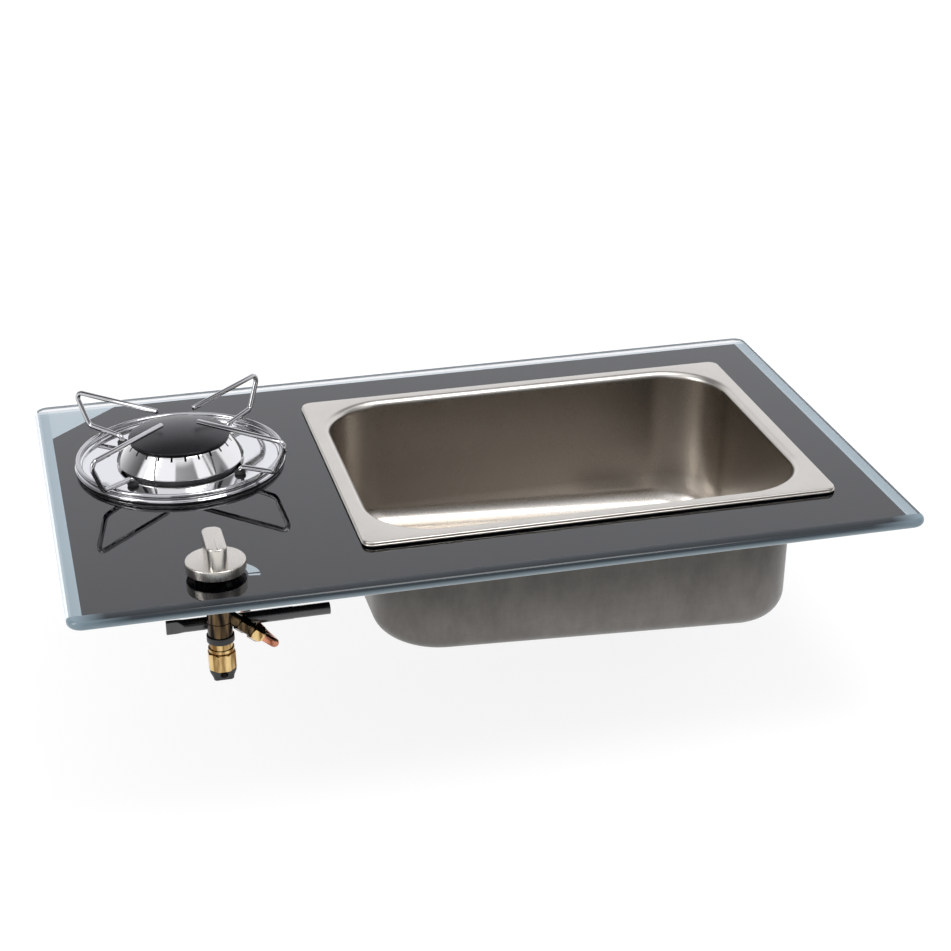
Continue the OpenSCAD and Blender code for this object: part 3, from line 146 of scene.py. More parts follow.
def noise(m, vector, scale, detail=3.0, rough=0.55):
    n = m.node_tree.nodes.new("ShaderNodeTexNoise")
    n.inputs["Scale"].default_value = scale
    n.inputs["Detail"].default_value = detail
    n.inputs["Roughness"].default_value = rough
    m.node_tree.links.new(vector, n.inputs["Vector"])
    return n.outputs["Fac"]


def spread(m, value, lo, hi, start=0.3, end=0.7, steps="LINEAR"):
    """Values between start and end mapped to lo and hi."""
    n = m.node_tree.nodes.new("ShaderNodeMapRange")
    n.interpolation_type = steps
    for key, number in (("From Min", start), ("From Max", end), ("To Min", lo), ("To Max", hi)):
        n.inputs[key].default_value = number
    m.node_tree.links.new(value, n.inputs["Value"])
    return n.outputs["Result"]


def feed(m, socket, value):
    """Links a socket to another one, or sets it to a number or colour."""
    if isinstance(value, bpy.types.NodeSocket):
        m.node_tree.links.new(value, socket)
    else:
        socket.default_value = value


def mixed(m, share, a, b, blend="MIX"):
    """Colour between two colours."""
    n = m.node_tree.nodes.new("ShaderNodeMix")
    n.data_type = "RGBA"
    n.blend_type = blend
    for index, value in ((MIX_SHARE, share), (COLOR_A, a), (COLOR_B, b)):
        feed(m, n.inputs[index], value)
    return n.outputs[COLOR_OUT]


def shader(m):
    return m.node_tree.nodes["Principled BSDF"]


def vary_rough(m, value, lo, hi, start=0.3, end=0.7):
    m.node_tree.links.new(spread(m, value, lo, hi, start, end), shader(m).inputs["Roughness"])


def vary_color(m, value, a, b, start=0.3, end=0.7):
    color = mixed(m, spread(m, value, 0, 1, start, end), a, b)
    m.node_tree.links.new(color, shader(m).inputs["Base Color"])


def parts_of(m, vector):
    """X, Y and Z outputs of a vector."""
    split = m.node_tree.nodes.new("ShaderNodeSeparateXYZ")
    m.node_tree.links.new(vector, split.inputs["Vector"])
    return split.outputs


def along(m, axis):
    """Object coordinate along one axis, in metres."""
    return parts_of(m, coords(m))[axis]


def math_node(m, operation, *values):
    n = m.node_tree.nodes.new("ShaderNodeMath")
    n.operation = operation
    for socket, value in zip(n.inputs, values):
        feed(m, socket, value)
    return n.outputs[0]


def from_outline(m, half_w, half_d):
    """Distance outward from a rectangle, negative inside it."""
    x = math_node(m, "SUBTRACT", math_node(m, "ABSOLUTE", along(m, "X")), half_w)
    y = math_node(m, "SUBTRACT", math_node(m, "ABSOLUTE", along(m, "Y")), half_d)
    return math_node(m, "MAXIMUM", x, y)


def other_color(m, value, low, high, color):
    """Base colour that turns into another one between two values."""
    base = shader(m).inputs["Base Color"]
    share = spread(m, value, 0, 1, low, high)
    m.node_tree.links.new(mixed(m, share, base.links[0].from_socket, color), base)


def ramp(m, value, stops):
    """Colour from a value between 0 and 1: stops of share and linear colour."""
    n = m.node_tree.nodes.new("ShaderNodeValToRGB")
    elements = n.color_ramp.elements
    while len(elements) < len(stops):
        elements.new(0.5)
    for element, (share, color) in zip(elements, stops):
        element.position = share
        element.color = color
    m.node_tree.links.new(value, n.inputs["Fac"])
    return n.outputs["Color"]


def color_ramp(m, value, low, high, stops):
    """Base colour from a value: stops of share and display colour."""
    linear = [(share, lin(*rgb)) for share, *rgb in stops]
    color = ramp(m, spread(m, value, 0, 1, low, high), linear)
    m.node_tree.links.new(color, shader(m).inputs["Base Color"])


def by_height(m, low, high, stops, axis="Z"):
    """Base colour from the place along one axis in metres: stops of share and display colour."""
    color_ramp(m, along(m, axis), low, high, stops)


def tint(m, value, lo, hi):
    """Base colour made darker and lighter by a value."""
    nodes, links = m.node_tree.nodes, m.node_tree.links
    base = shader(m).inputs["Base Color"]
    n = nodes.new("ShaderNodeVectorMath")
    n.operation = "SCALE"
    links.new(base.links[0].from_socket, n.inputs[0])
    links.new(spread(m, value, lo, hi), n.inputs["Scale"])
    links.new(n.outputs[0], base)


def bump(m, value, strength, distance):
    n = m.node_tree.nodes.new("ShaderNodeBump")
    n.inputs["Strength"].default_value = strength
    n.inputs["Distance"].default_value = distance
    m.node_tree.links.new(value, n.inputs["Height"])
    m.node_tree.links.new(n.outputs["Normal"], shader(m).inputs["Normal"])


def scratches(m, angle, length, width):
    """Fine straight marks along one direction of the flat plane."""
    nodes, links = m.node_tree.nodes, m.node_tree.links
    where = nodes.new("ShaderNodeTexCoord")
    mapping = nodes.new("ShaderNodeMapping")
    mapping.inputs["Rotation"].default_value = (0, 0, angle)
    mapping.inputs["Scale"].default_value = (length, width, width)
    links.new(where.outputs["Object"], mapping.inputs["Vector"])
    return noise(m, mapping.outputs["Vector"], 1.0, 2.0)


def brushed(name, base, other, rough_lo, rough_hi, stretch, strength):
    """Metal with fine lines along one axis."""
    m = material(name, base, 1.0, rough_lo)
    lines = noise(m, coords(m, stretch), 1.0, 3.0)
    vary_rough(m, lines, rough_lo, rough_hi)
    bump(m, lines, strength, 0.0002)
    vary_color(m, noise(m, coords(m), 22, 4.0), base, other)
    return m


def cast(name, base, other, metallic, rough_lo, rough_hi, grain, strength, distance=0.0004):
    """Even surface with small blotches and a fine grain."""
    m = material(name, base, metallic, rough_lo)
    where = coords(m)
    vary_color(m, noise(m, where, 60, 4.0), base, other)
    fine = noise(m, where, grain, 4.0)
    vary_rough(m, fine, rough_lo, rough_hi)
    bump(m, fine, strength, distance)
    return m


def reflection_streaked(name, base, other, rough_lo, rough_hi):
    """Metal with painted reflections: light and dark streaks along the upright axis."""
    m = material(name, base, 1.0, rough_lo)
    vary_color(m, noise(m, coords(m, (1, 1, 0.12)), 260, 2.0), base, other, 0.38, 0.62)
    fine = noise(m, coords(m), 500, 3.0)
    vary_rough(m, fine, rough_lo, rough_hi)
    bump(m, fine, 0.03, 0.0002)
    return m


MATS = {}
HALF_W, HALF_D = PLATE_W / 2 * MM, PLATE_D / 2 * MM
# Heights of the glass edge, a little more than the glass, in metres
EDGE_LOW, EDGE_HIGH = -0.0001, 0.0062
# Distances from the middle between which the painted reflection on the edge turns lighter at the plate's
# corners, in metres
CORNER_END = 0.275

# Painted light in the glass's tint: lighter towards the outer edge, and white along the back strip so that
# the back border looks brighter
m = MATS["glass"] = material("glass", lin(150, 167, 176), 0, 0.0, IOR=1.52, Transmission_Weight=1.0)
color_ramp(m, from_outline(m, HALF_W, HALF_D), -0.014, 0.0, (
    (0.0, 168, 182, 190), (0.26, 164, 179, 187), (0.33, 150, 167, 177),
    (0.7, 146, 163, 173), (0.93, 190, 203, 210),
))
other_color(m, along(m, "Y"), 0.1643, 0.1647, lin(255, 255, 255))

# Painted reflection on the rounded front edge: a white highlight low down, blue-grey in the middle, painted
# shade at the top, and lighter at the corners
m = MATS["glass_edge"] = material("glass_edge", lin(120, 132, 138), 0, 0.12, Specular_IOR_Level=0.35)
by_height(m, EDGE_LOW, EDGE_HIGH, (
    (0.0, 240, 245, 247), (0.07, 222, 230, 233), (0.14, 110, 123, 130), (0.3, 128, 142, 149),
    (0.5, 98, 111, 117), (0.7, 58, 67, 72), (0.9, 40, 46, 50),
))
other_color(m, math_node(m, "ABSOLUTE", along(m, "X")), 0.24, CORNER_END, lin(120, 137, 146))

# Painted reflection on the side and back edges: white lines at the bottom and top, blue-grey between
m = MATS["glass_side"] = material("glass_side", lin(185, 203, 210), 0, 0.12, Specular_IOR_Level=0.35)
by_height(m, EDGE_LOW, EDGE_HIGH, (
    (0.0, 240, 245, 247), (0.1, 186, 202, 209), (0.35, 158, 178, 187), (0.7, 215, 226, 231),
    (1.0, 245, 248, 250),
))

# Painted shade on the top strip along the front: an opaque dark sheet, darker towards the front edge and
# lighter at the corners
m = MATS["glass_front"] = material("glass_front", lin(44, 50, 55), 0, 0.4, Specular_IOR_Level=0.08)
by_height(m, -HALF_D, -0.1645, (
    (0.0, 34, 38, 41), (0.35, 42, 47, 50), (0.7, 58, 62, 65), (1.0, 78, 81, 84),
), "Y")
other_color(m, math_node(m, "ABSOLUTE", along(m, "X")), 0.256, CORNER_END, lin(130, 147, 156))

m = MATS["black_print"] = material("black_print", lin(13, 13, 14), 0, 0.6, Specular_IOR_Level=0.0)
vary_color(m, noise(m, coords(m), 30, 3.0), lin(10, 11, 16), lin(14, 15, 20))

MATS["bowl_steel"] = cast(
    "bowl_steel", lin(214, 209, 201), lin(209, 204, 196), 1.0, 0.27, 0.33, 1500, 0.02, 0.0001)

# Painted light and shade: the floor of the bowl is painted brighter, for the light it catches from above, and
# the walls darker than the rim's steel; the floor is also less of a mirror than its walls
m = MATS["bowl_inside"] = cast(
    "bowl_inside", lin(170, 162, 152), lin(166, 158, 148), 1.0, 0.26, 0.32, 1500, 0.02, 0.0001)
by_height(m, -0.106, 0.0, (
    (0.0, 236, 230, 222), (0.1, 232, 226, 218), (0.32, 156, 149, 140), (0.6, 146, 139, 130),
    (1.0, 150, 143, 134),
))
m.node_tree.links.new(spread(m, along(m, "Z"), 0.4, 1.0, -0.098, -0.086), shader(m).inputs["Metallic"])

# Painted shade and light on the outside: darker towards the top, under the plate, and lighter towards the
# bottom fillet
m = MATS["bowl_outside"] = material("bowl_outside", lin(100, 98, 95), 1.0, 0.4)
by_height(m, -0.112, 0.0, (
    (0.0, 150, 147, 143), (0.12, 122, 119, 116), (0.35, 106, 103, 100), (0.62, 84, 82, 79),
    (0.95, 78, 76, 73),
))
tint(m, noise(m, coords(m, (1, 1, 0.5)), 60, 8.0, 0.7), 0.84, 1.18)
marks = scratches(m, 0.5, 90, 1500)
vary_rough(m, marks, 0.28, 0.44)
bump(m, marks, 0.1, 0.0001)

# chrome_wire is a darker copy of the chrome: painted shade for the wire
for name, shade in (("chrome", 222), ("chrome_wire", 190)):
    m = MATS[name] = material(name, lin(shade, shade, shade + 1), 1.0, 0.05)
    vary_rough(m, noise(m, coords(m), 120, 4.0), 0.03, 0.08)

m = MATS["polished_aluminium"] = material("polished_aluminium", lin(232, 231, 229), 1.0, 0.06)
vary_rough(m, noise(m, coords(m, (40, 40, 900)), 1.0, 3.0), 0.05, 0.12)

MATS["satin_nickel"] = brushed(
    "satin_nickel", lin(214, 209, 201), lin(207, 202, 194), 0.26, 0.32, (1800, 90, 90), 0.02)

# Name, two shades of the painted reflection streaks, least and greatest roughness
for name, *looks in (
    ("brass", lin(226, 196, 138), lin(122, 88, 46), 0.12, 0.22),
    ("copper", lin(216, 150, 122), lin(142, 84, 62), 0.14, 0.26),
    ("dark_brass", lin(112, 92, 66), lin(24, 22, 21), 0.14, 0.28),
):
    MATS[name] = reflection_streaked(name, *looks)

# Name, two shades, metallic, least and greatest roughness, grain and its strength
for name, *looks in (
    ("gasket", lin(24, 24, 25), lin(34, 34, 35), 0, 0.55, 0.75, 900, 0.2),
    ("zinc_steel", lin(178, 178, 180), lin(160, 160, 164), 1.0, 0.3, 0.45, 700, 0.06),
    ("black_plastic", lin(26, 26, 27), lin(34, 34, 36), 0, 0.4, 0.5, 1600, 0.1),
    ("cast_aluminium", lin(130, 130, 132), lin(105, 105, 108), 1.0, 0.4, 0.6, 500, 0.3),
    ("black_enamel", lin(19, 19, 22), lin(21, 21, 25), 0, 0.25, 0.28, 60, 0.0),
    ("spring_steel", lin(150, 150, 154), lin(130, 130, 134), 1.0, 0.25, 0.4, 600, 0.05),
    ("fibre", lin(150, 74, 58), lin(128, 60, 48), 0, 0.7, 0.85, 900, 0.3),
    ("black_steel", lin(30, 30, 31), lin(18, 18, 19), 0, 0.14, 0.34, 260, 0.25, 0.0003),
):
    MATS[name] = cast(name, *looks)
shader(MATS["black_enamel"]).inputs["Specular IOR Level"].default_value = 0.3
shader(MATS["black_steel"]).inputs["Specular IOR Level"].default_value = 1.0


# Mesh code
def circle(x, y, r, steps=128):
    turns = [2 * math.pi * i / steps for i in range(steps)]
    return [(x + r * math.cos(a), y + r * math.sin(a)) for a in turns]


class Build:
    """Vertices in millimetres and faces of one piece."""

    def __init__(self):
        self.verts = []
        self.faces = []
        self.kinds = []

    def add(self, verts, faces, place=None, kind=0):
        base = len(self.verts)
        self.verts += [(place @ Vector(v)) if place else Vector(v) for v in verts]
        self.faces += [tuple(base + i for i in f) for f in faces]
        self.kinds += [kind] * len(faces)

    def loft(self, rings, loop=False, place=None, caps=True, kind=0):
        """Skin over rings of equal count. A loop joins the last ring to the first."""
        count = len(rings[0])
        verts = [v for ring in rings for v in ring]
        last = len(rings) - 1
        pairs = [(k, k + 1) for k in range(last)] + ([(last, 0)] if loop else [])
        faces = [
            (a * count + i, a * count + (i + 1) % count, b * count + (i + 1) % count, b * count + i)
            for a, b in pairs for i in range(count)
        ]
        if caps and not loop:
            faces.append(tuple(reversed(range(count))))
            faces.append(tuple(last * count + i for i in range(count)))
        self.add(verts, faces, place, kind)

    def lathe(self, section, place, seg=128, loop=True):
        """Section of (radius, height) points turned round +Z, closed if it is a loop."""
        turns = circle(0, 0, 1, seg)
        self.loft([[(r * c, r * s, z) for c, s in turns] for r, z in section], loop, place, False)

    def tube(self, path, radius, sides=20, closed=False, place=None, ends=0.0):
        """Round tube along a path, its ends softened by a length."""
        pts = [Vector(p) for p in path]
        radii = [radius] * len(pts)
        if ends and not closed:
            for index, step in ((0, 1), (-1, -1)):
                way = (pts[index + step] - pts[index]).normalized()
                tip = pts[index].copy()
                inner = [tip + way * ends, tip + way * ends * 0.3, tip]
                sizes = [radius, radius - ends * 0.3, radius - ends]
                if step > 0:
                    pts = inner[::-1] + pts[1:]
                    radii = sizes[::-1] + radii[1:]
                else:
                    pts = pts[:-1] + inner
                    radii = radii[:-1] + sizes
        n = len(pts)
        heads = []
        for i in range(n):
            a = pts[(i - 1) % n] if closed else pts[max(i - 1, 0)]
            b = pts[(i + 1) % n] if closed else pts[min(i + 1, n - 1)]
            heads.append((b - a).normalized())
        side = heads[0].orthogonal().normalized()
        turns = circle(0, 0, 1, sides)
        rings = []
        for p, t, r in zip(pts, heads, radii):
            side = (side - side.dot(t) * t).normalized()
            other = t.cross(side)
            rings.append([p + r * (c * side + s * other) for c, s in turns])
        self.loft(rings, closed, place)

    def sheet_with_holes(self, outer, holes, kind=0):
        """Flat face between an outline and its holes."""
        loops = [[Vector(p) for p in loop] for loop in [outer] + holes]
        flat = [v for loop in loops for v in loop]
        self.add(flat, [tuple(t) for t in tessellate_polygon(loops)], kind=kind)

    def make(self, name, mats, body, replaces, sharp):
        """Piece with its materials by kind of face, on a body."""
        mesh = bpy.data.meshes.new(name)
        mesh.from_pydata([tuple(v * MM) for v in self.verts], [], self.faces)
        for m in mats if isinstance(mats, (list, tuple)) else [mats]:
            mesh.materials.append(m)
        mesh.polygons.foreach_set("material_index", self.kinds)
        bm = bmesh.new()
        bm.from_mesh(mesh)
        bmesh.ops.remove_doubles(bm, verts=bm.verts, dist=2e-7)
        bmesh.ops.dissolve_degenerate(bm, dist=1e-8, edges=bm.edges)
        bmesh.ops.recalc_face_normals(bm, faces=bm.faces)
        bm.to_mesh(mesh)
        bm.free()
        o = bpy.data.objects.new(name, mesh)
        bpy.context.scene.collection.objects.link(o)
        soften(o, sharp)
        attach(o, body)
        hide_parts(*replaces)
        return o


def soften(o, sharp):
    """Smooth shading with hard edges above an angle."""
    o.data.polygons.foreach_set("use_smooth", [True] * len(o.data.polygons))
    o.data.set_sharp_from_angle(angle=math.radians(sharp))
    o.data.update()


def combine(o, cutters, sharp, operation="DIFFERENCE"):
    """Applies one exact boolean with closed meshes, and shades the result anew."""
    tool_mesh = bpy.data.meshes.new("tool")
    tool_mesh.from_pydata([tuple(v * MM) for v in cutters.verts], [], cutters.faces)
    bm = bmesh.new()
    bm.from_mesh(tool_mesh)
    bmesh.ops.recalc_face_normals(bm, faces=bm.faces)
    bm.to_mesh(tool_mesh)
    bm.free()
    tool = bpy.data.objects.new("tool", tool_mesh)
    bpy.context.scene.collection.objects.link(tool)
    step = o.modifiers.new("cut", "BOOLEAN")
    step.operation = operation
    step.solver = "EXACT"
    step.object = tool
    bpy.context.view_layer.update()
    made = bpy.data.meshes.new_from_object(o.evaluated_get(bpy.context.evaluated_depsgraph_get()))
    o.modifiers.clear()
    o.data = made
    bpy.data.objects.remove(tool)
    soften(o, sharp)


def at(x, y, z=0.0):
    return Matrix.Translation((x, y, z))


def arc(mid, r, start, end, steps):
    out = []
    for i in range(steps + 1):
        a = math.radians(start + (end - start) * i / steps)
        out.append((mid[0] + r * math.cos(a), mid[1] + r * math.sin(a)))
    return out


def round_rect(w, d, r, steps=12):
    """Outline of a rectangle with round corners, anticlockwise."""
    r = max(r, 0.01)
    out = []
    for q, (sx, sy) in enumerate(((1, 1), (-1, 1), (-1, -1), (1, -1))):
        out += arc((sx * (w / 2 - r), sy * (d / 2 - r)), r, 90 * q, 90 * q + 90, steps)
    return out


def flats(af, sides, first=0.0, steps=16):
    """Distances and angles round an even polygon with its first corner at an angle."""
    half = 180 / sides
    out = []
    for i in range(sides * steps):
        a = 360 * i / (sides * steps)
        off = ((a - first) % (2 * half)) - half
        out.append((af / 2 / math.cos(math.radians(off)), math.radians(a)))
    return out


def nut(b, af, h, bore, place, chamfer=0.55, low=True, sides=6, first=0.0):
    """Nut with a bore, its corners chamfered at the top, and at the bottom if low is set."""
    shape = flats(af, sides, first)
    round_r = af / 2 * 1.01
    rings = []

    def ring_of(fn):
        rings.append([(fn(r)[0] * math.cos(a), fn(r)[0] * math.sin(a), fn(r)[1]) for r, a in shape])

    ring_of(lambda r: (bore, 0))
    ring_of(lambda r: (min(r, round_r) if low else r, 0))
    ring_of(lambda r: (r, max(r - round_r, 0) * chamfer if low else 0))
    ring_of(lambda r: (r, h - max(r - round_r, 0) * chamfer))
    ring_of(lambda r: (min(r, round_r), h))
    ring_of(lambda r: (bore, h))
    b.loft(rings, True, place)


# Glass and print
EDGE_R = GLASS_T * 0.55
TRAY_HOLE_R = 69.2
NECK_HOLE_R = 6.8
HOLE_GAP = 0.8
HOLE_INSET = MOUTH_INSET - STEEL_T - HOLE_GAP


def holes_at(z, grow=0.0):
    """Holes of the bowl, the burner and the tap at a height, grown by a distance."""
    inset = 2 * (HOLE_INSET - grow)
    bowl = round_rect(RIM_W - inset, RIM_D - inset, BOWL_CORNER + STEEL_T + HOLE_GAP + grow)
    return [
        [(x + SINK_X, y, z) for x, y in bowl],
        [(x, y, z) for x, y in circle(*HOB, TRAY_HOLE_R + grow)],
        [(x, y, z) for x, y in circle(*TAP, NECK_HOLE_R + grow, 48)],
    ]


def plate_ring(out, z):
    """Outline of the plate, grown from the flat part of its edge."""
    inset = EDGE_R - out
    outline = round_rect(PLATE_W - 2 * inset, PLATE_D - 2 * inset, PLATE_CORNER - inset, 10)
    return [(x, y, z) for x, y in outline]


# The edge and the top strip along the front have looks of their own: painted reflection on the edge and
# painted shade on the strip, in place of clear glass
EDGE_KIND, STRIP_KIND, SIDE_KIND = 1, 2, 3
FRONT = -PLATE_D / 2 + PLATE_CORNER
NEAR = 0.01
CHAMFER = 0.25

b = Build()
half_angle = math.degrees(math.asin(GLASS_T / 2 / EDGE_R))
edge = arc((0, GLASS_T / 2), EDGE_R, -half_angle, half_angle, 14)
rings = [plate_ring(o, z) for o, z in edge]
b.loft(rings, caps=False)
b.kinds = [EDGE_KIND if max(b.verts[i].y for i in f) < FRONT + NEAR else SIDE_KIND for f in b.faces]
b.sheet_with_holes(rings[0], holes_at(0.0, CHAMFER))
b.sheet_with_holes([p for p in rings[-1] if p[1] > FRONT - NEAR], holes_at(GLASS_T, CHAMFER))
b.sheet_with_holes([p for p in rings[-1] if p[1] < FRONT + NEAR], [], STRIP_KIND)
for low, inner_low, inner_high, high in zip(
    holes_at(0.0, CHAMFER), holes_at(CHAMFER), holes_at(GLASS_T - CHAMFER), holes_at(GLASS_T, CHAMFER)
):
    b.loft([low, inner_low, inner_high, high], caps=False)
glass_mats = [MATS[key] for key in ("glass", "glass_edge", "glass_front", "glass_side")]
b.make("glass_plate_clear", glass_mats, "root", ["glass_plate"], 28)

BORDER = 10.0
PRINT_T = 0.3
PRINT_CUT = 48.8
PRINT_HALF_W, PRINT_HALF_D = PLATE_W / 2 - BORDER, PLATE_D / 2 - BORDER


def mark_loops():
    """Clear window beside the knob: a curved wedge and a short bar."""
    inner, outer, sweep, steps = 20.0, 27.5, 70.0, 40
    wedge = []
    for i in range(steps + 1):
        a = math.radians(sweep * i / steps)
        r = outer - (outer - inner) * (i / steps) ** 1.3
        wedge.append((r * math.cos(a), r * math.sin(a)))
    wedge += arc((0, 0), inner, sweep * (steps - 1) / steps, 0, steps - 1)
    bar = arc((0, 0), outer, -10, -4, 6) + arc((0, 0), inner, -4, -10, 6)
    return [[(x + TAP[0], y + TAP[1]) for x, y in loop] for loop in (wedge, bar)]


b = Build()
outline = [
    (-PRINT_HALF_W, -PRINT_HALF_D), (PRINT_HALF_W, -PRINT_HALF_D), (PRINT_HALF_W, PRINT_HALF_D),
    (-PRINT_HALF_W + PRINT_CUT, PRINT_HALF_D), (-PRINT_HALF_W, PRINT_HALF_D - PRINT_CUT),
]
HOLE_MARGIN = 0.3
loops = [outline] + [[(x, y) for x, y, _ in loop] for loop in holes_at(0, HOLE_MARGIN)] + mark_loops()
PRINT_LOW, PRINT_TOP = -0.005, PRINT_T + 0.01
for z in (PRINT_LOW, PRINT_TOP):
    flat_loops = [[(x, y, z) for x, y in loop] for loop in loops]
    b.sheet_with_holes(flat_loops[0], flat_loops[1:])
for loop in loops:
    b.loft([[(x, y, z) for x, y in loop] for z in (PRINT_LOW, PRINT_TOP)], caps=False)
b.make("black_print_film", MATS["black_print"], "root", ["enamel_print"], 30)


# Bowl
CORNER_STEPS = 24


def bowl_ring(inset, corner, z, fall=0.0):
    """Outline of the bowl, with a share of the floor's fall."""
    outline = round_rect(RIM_W - 2 * inset, RIM_D - 2 * inset, corner, CORNER_STEPS)
    return [(x + SINK_X, y, z - fall * FALL * x) for x, y in outline]


def bowl_side(back, floor_steps=16, lip_steps=12):
    """Outlines from the floor up to the rim, on one face of the steel."""
    out = []
    for i in range(floor_steps + 1):
        a = math.radians(90 * i / floor_steps)
        r = FLOOR_R + back
        inset = FLOOR_INSET + FLOOR_R - r * math.sin(a)
        corner = max(BOWL_CORNER - (inset - MOUTH_INSET), 4)
        out.append(bowl_ring(inset, corner, FLOOR_Z + FLOOR_R - r * math.cos(a), 1 - 0.25 * i / floor_steps))
    for i in range(lip_steps + 1):
        a = math.radians(90 * i / lip_steps)
        r = LIP_R - back
        inset = MOUTH_INSET - LIP_R + r * math.cos(a)
        out.append(bowl_ring(inset, BOWL_CORNER + MOUTH_INSET - inset, LIP_Z + r * math.sin(a)))
    return out


# Section of the folded rim: inset and height, for a hem 3 mm high
HEM = [
    (1.9, 0), (1.4, -0.04), (1.05, -0.14), (0.78, -0.32), (0.62, -0.55), (0.56, -0.85), (0.62, -1.15),
    (0.8, -1.36), (0.98, -1.44), (0.98, -1.56), (0.7, -1.62), (0.42, -1.72), (0.2, -1.88), (0.06, -2.1),
    (0, -2.35), (0.05, -2.6), (0.2, -2.8), (0.42, -2.93), (0.72, -2.99), (1.1, -3),
]
hem = [bowl_ring(i, RIM_CORNER - i, RIM_TOP + z * HEM_H / 3) for i, z in HEM]
hem += [bowl_ring(HEM_W, RIM_CORNER - HEM_W, z) for z in (RIM_TOP - HEM_H, RIM_TOP - STEEL_T)]
inner, outer = bowl_side(0), bowl_side(STEEL_T)


def floor_height(x):
    return FLOOR_Z - FALL * (x - SINK_X)


def drain_rings(back, soft, steps=6):
    """Rings from the floor down the drain recess to its hole, on one face of the steel."""
    wall = RECESS_R + back
    bottom = RECESS_Z - back
    rings = []
    for i in range(steps + 1):
        a = math.radians(90 * i / steps)
        r = wall + soft * (1 - math.sin(a))
        drop = back + soft * (1 - math.cos(a))
        rings.append([(x, y, floor_height(x) - drop) for x, y in circle(*DRAIN, r, 96)])
    turn_r = RECESS_TURN_R + back
    for i in range(1, steps + 1):
        a = math.radians(90 * i / steps)
        r = wall - turn_r * (1 - math.cos(a))
        z = bottom + turn_r * (1 - math.sin(a))
        rings.append([(x, y, z) for x, y in circle(*DRAIN, r, 96)])
    rings.append([(x, y, bottom) for x, y in circle(*DRAIN, DRAIN_R, 96)])
    return rings


RIM_KIND, OUTSIDE_KIND, INSIDE_KIND = 0, 1, 2
# First of the inner outlines that have the rim's steel, lighter than the painted shade inside the bowl
LIP_FROM = len(inner) - 10

b = Build()
b.loft(inner[:LIP_FROM + 1], caps=False, kind=INSIDE_KIND)
b.loft(inner[LIP_FROM:] + hem, caps=False, kind=RIM_KIND)
b.loft([hem[-1]] + outer[::-1], caps=False, kind=OUTSIDE_KIND)
top_drain, low_drain = drain_rings(0, 1.6), drain_rings(STEEL_T, 0.4)
b.loft(top_drain, caps=False, kind=INSIDE_KIND)
b.loft([top_drain[-1], low_drain[-1]], caps=False, kind=RIM_KIND)
b.loft(low_drain, caps=False, kind=OUTSIDE_KIND)
b.sheet_with_holes(inner[0], [top_drain[0]], INSIDE_KIND)
b.sheet_with_holes(outer[0], [low_drain[0]], OUTSIDE_KIND)
bowl_mats = [MATS[key] for key in ("bowl_steel", "bowl_outside", "bowl_inside")]
b.make("sink_bowl", bowl_mats, "root", ["sink_basin"], 38)

# Drip tray
TRAY_Z, TRAY_T, BEAD_R, BEAD_RING, BEAD_Z = 7.4, 0.8, 2.6, 70.2, 6.2
TRAY_LIP_Z, TRAY_R, TRAY_IN_R = 6.6, 73.4, 33.5
# Degrees round the bead at which the tray's step meets it
BEAD_FROM = 150
# Least softening of an edge
SOFT_EDGE = 0.2
hob = at(*HOB)

step_r = BEAD_RING + BEAD_R * math.cos(math.radians(BEAD_FROM)) - TRAY_T
lip_top = math.degrees(math.asin((TRAY_LIP_Z + TRAY_T - BEAD_Z) / BEAD_R))
lip_low = math.degrees(math.asin((TRAY_LIP_Z - BEAD_Z) / (BEAD_R - TRAY_T)))
section = (
    [(TRAY_IN_R, TRAY_Z), (step_r, TRAY_Z)]
    + arc((BEAD_RING, BEAD_Z), BEAD_R, BEAD_FROM, lip_top, 32)
    + [
        (TRAY_R - SOFT_EDGE, TRAY_LIP_Z + TRAY_T), (TRAY_R, TRAY_LIP_Z + TRAY_T - SOFT_EDGE),
        (TRAY_R, TRAY_LIP_Z + SOFT_EDGE), (TRAY_R - SOFT_EDGE, TRAY_LIP_Z),
    ]
    + arc((BEAD_RING, BEAD_Z), BEAD_R - TRAY_T, lip_low, BEAD_FROM, 32)
    + [(step_r + TRAY_T / 2, TRAY_Z - TRAY_T), (TRAY_IN_R, TRAY_Z - TRAY_T)]
)
b = Build()
b.lathe(section, hob, 192)
b.make("tray_ring", MATS["chrome"], "root", ["drip_tray"], 40)

# Burner crown
CROWN_Z, CROWN_H, CROWN_LOW, CROWN_TOP, CROWN_T, SWELL = 9.5, 13.8, 44.3, 34.8, 1.2, 0.3
CROWN_EDGE = 0.6
SLOTS, SLOT_W, SLOT_H = 24, 1.4, 2.6
SKIN_W = 1.15 * CROWN_T
SHELF_Z = CROWN_H - SLOT_H - 0.6 - CROWN_T
MIX_IN, MIX_OUT, MIX_END = 6.8, 8.0, CROWN_H - 26.0
FOOT_IN, FOOT_T = 34.0, 1.0
crown_at = hob @ at(0, 0, CROWN_Z)


def skirt_r(z):
    share = max(z - CROWN_EDGE, 0) / (CROWN_H - CROWN_EDGE)
    return CROWN_LOW + (CROWN_TOP - CROWN_LOW) * share + SWELL * 4 * share * (1 - share)


def inner_side(z):
    return (skirt_r(z) - SKIN_W, z)


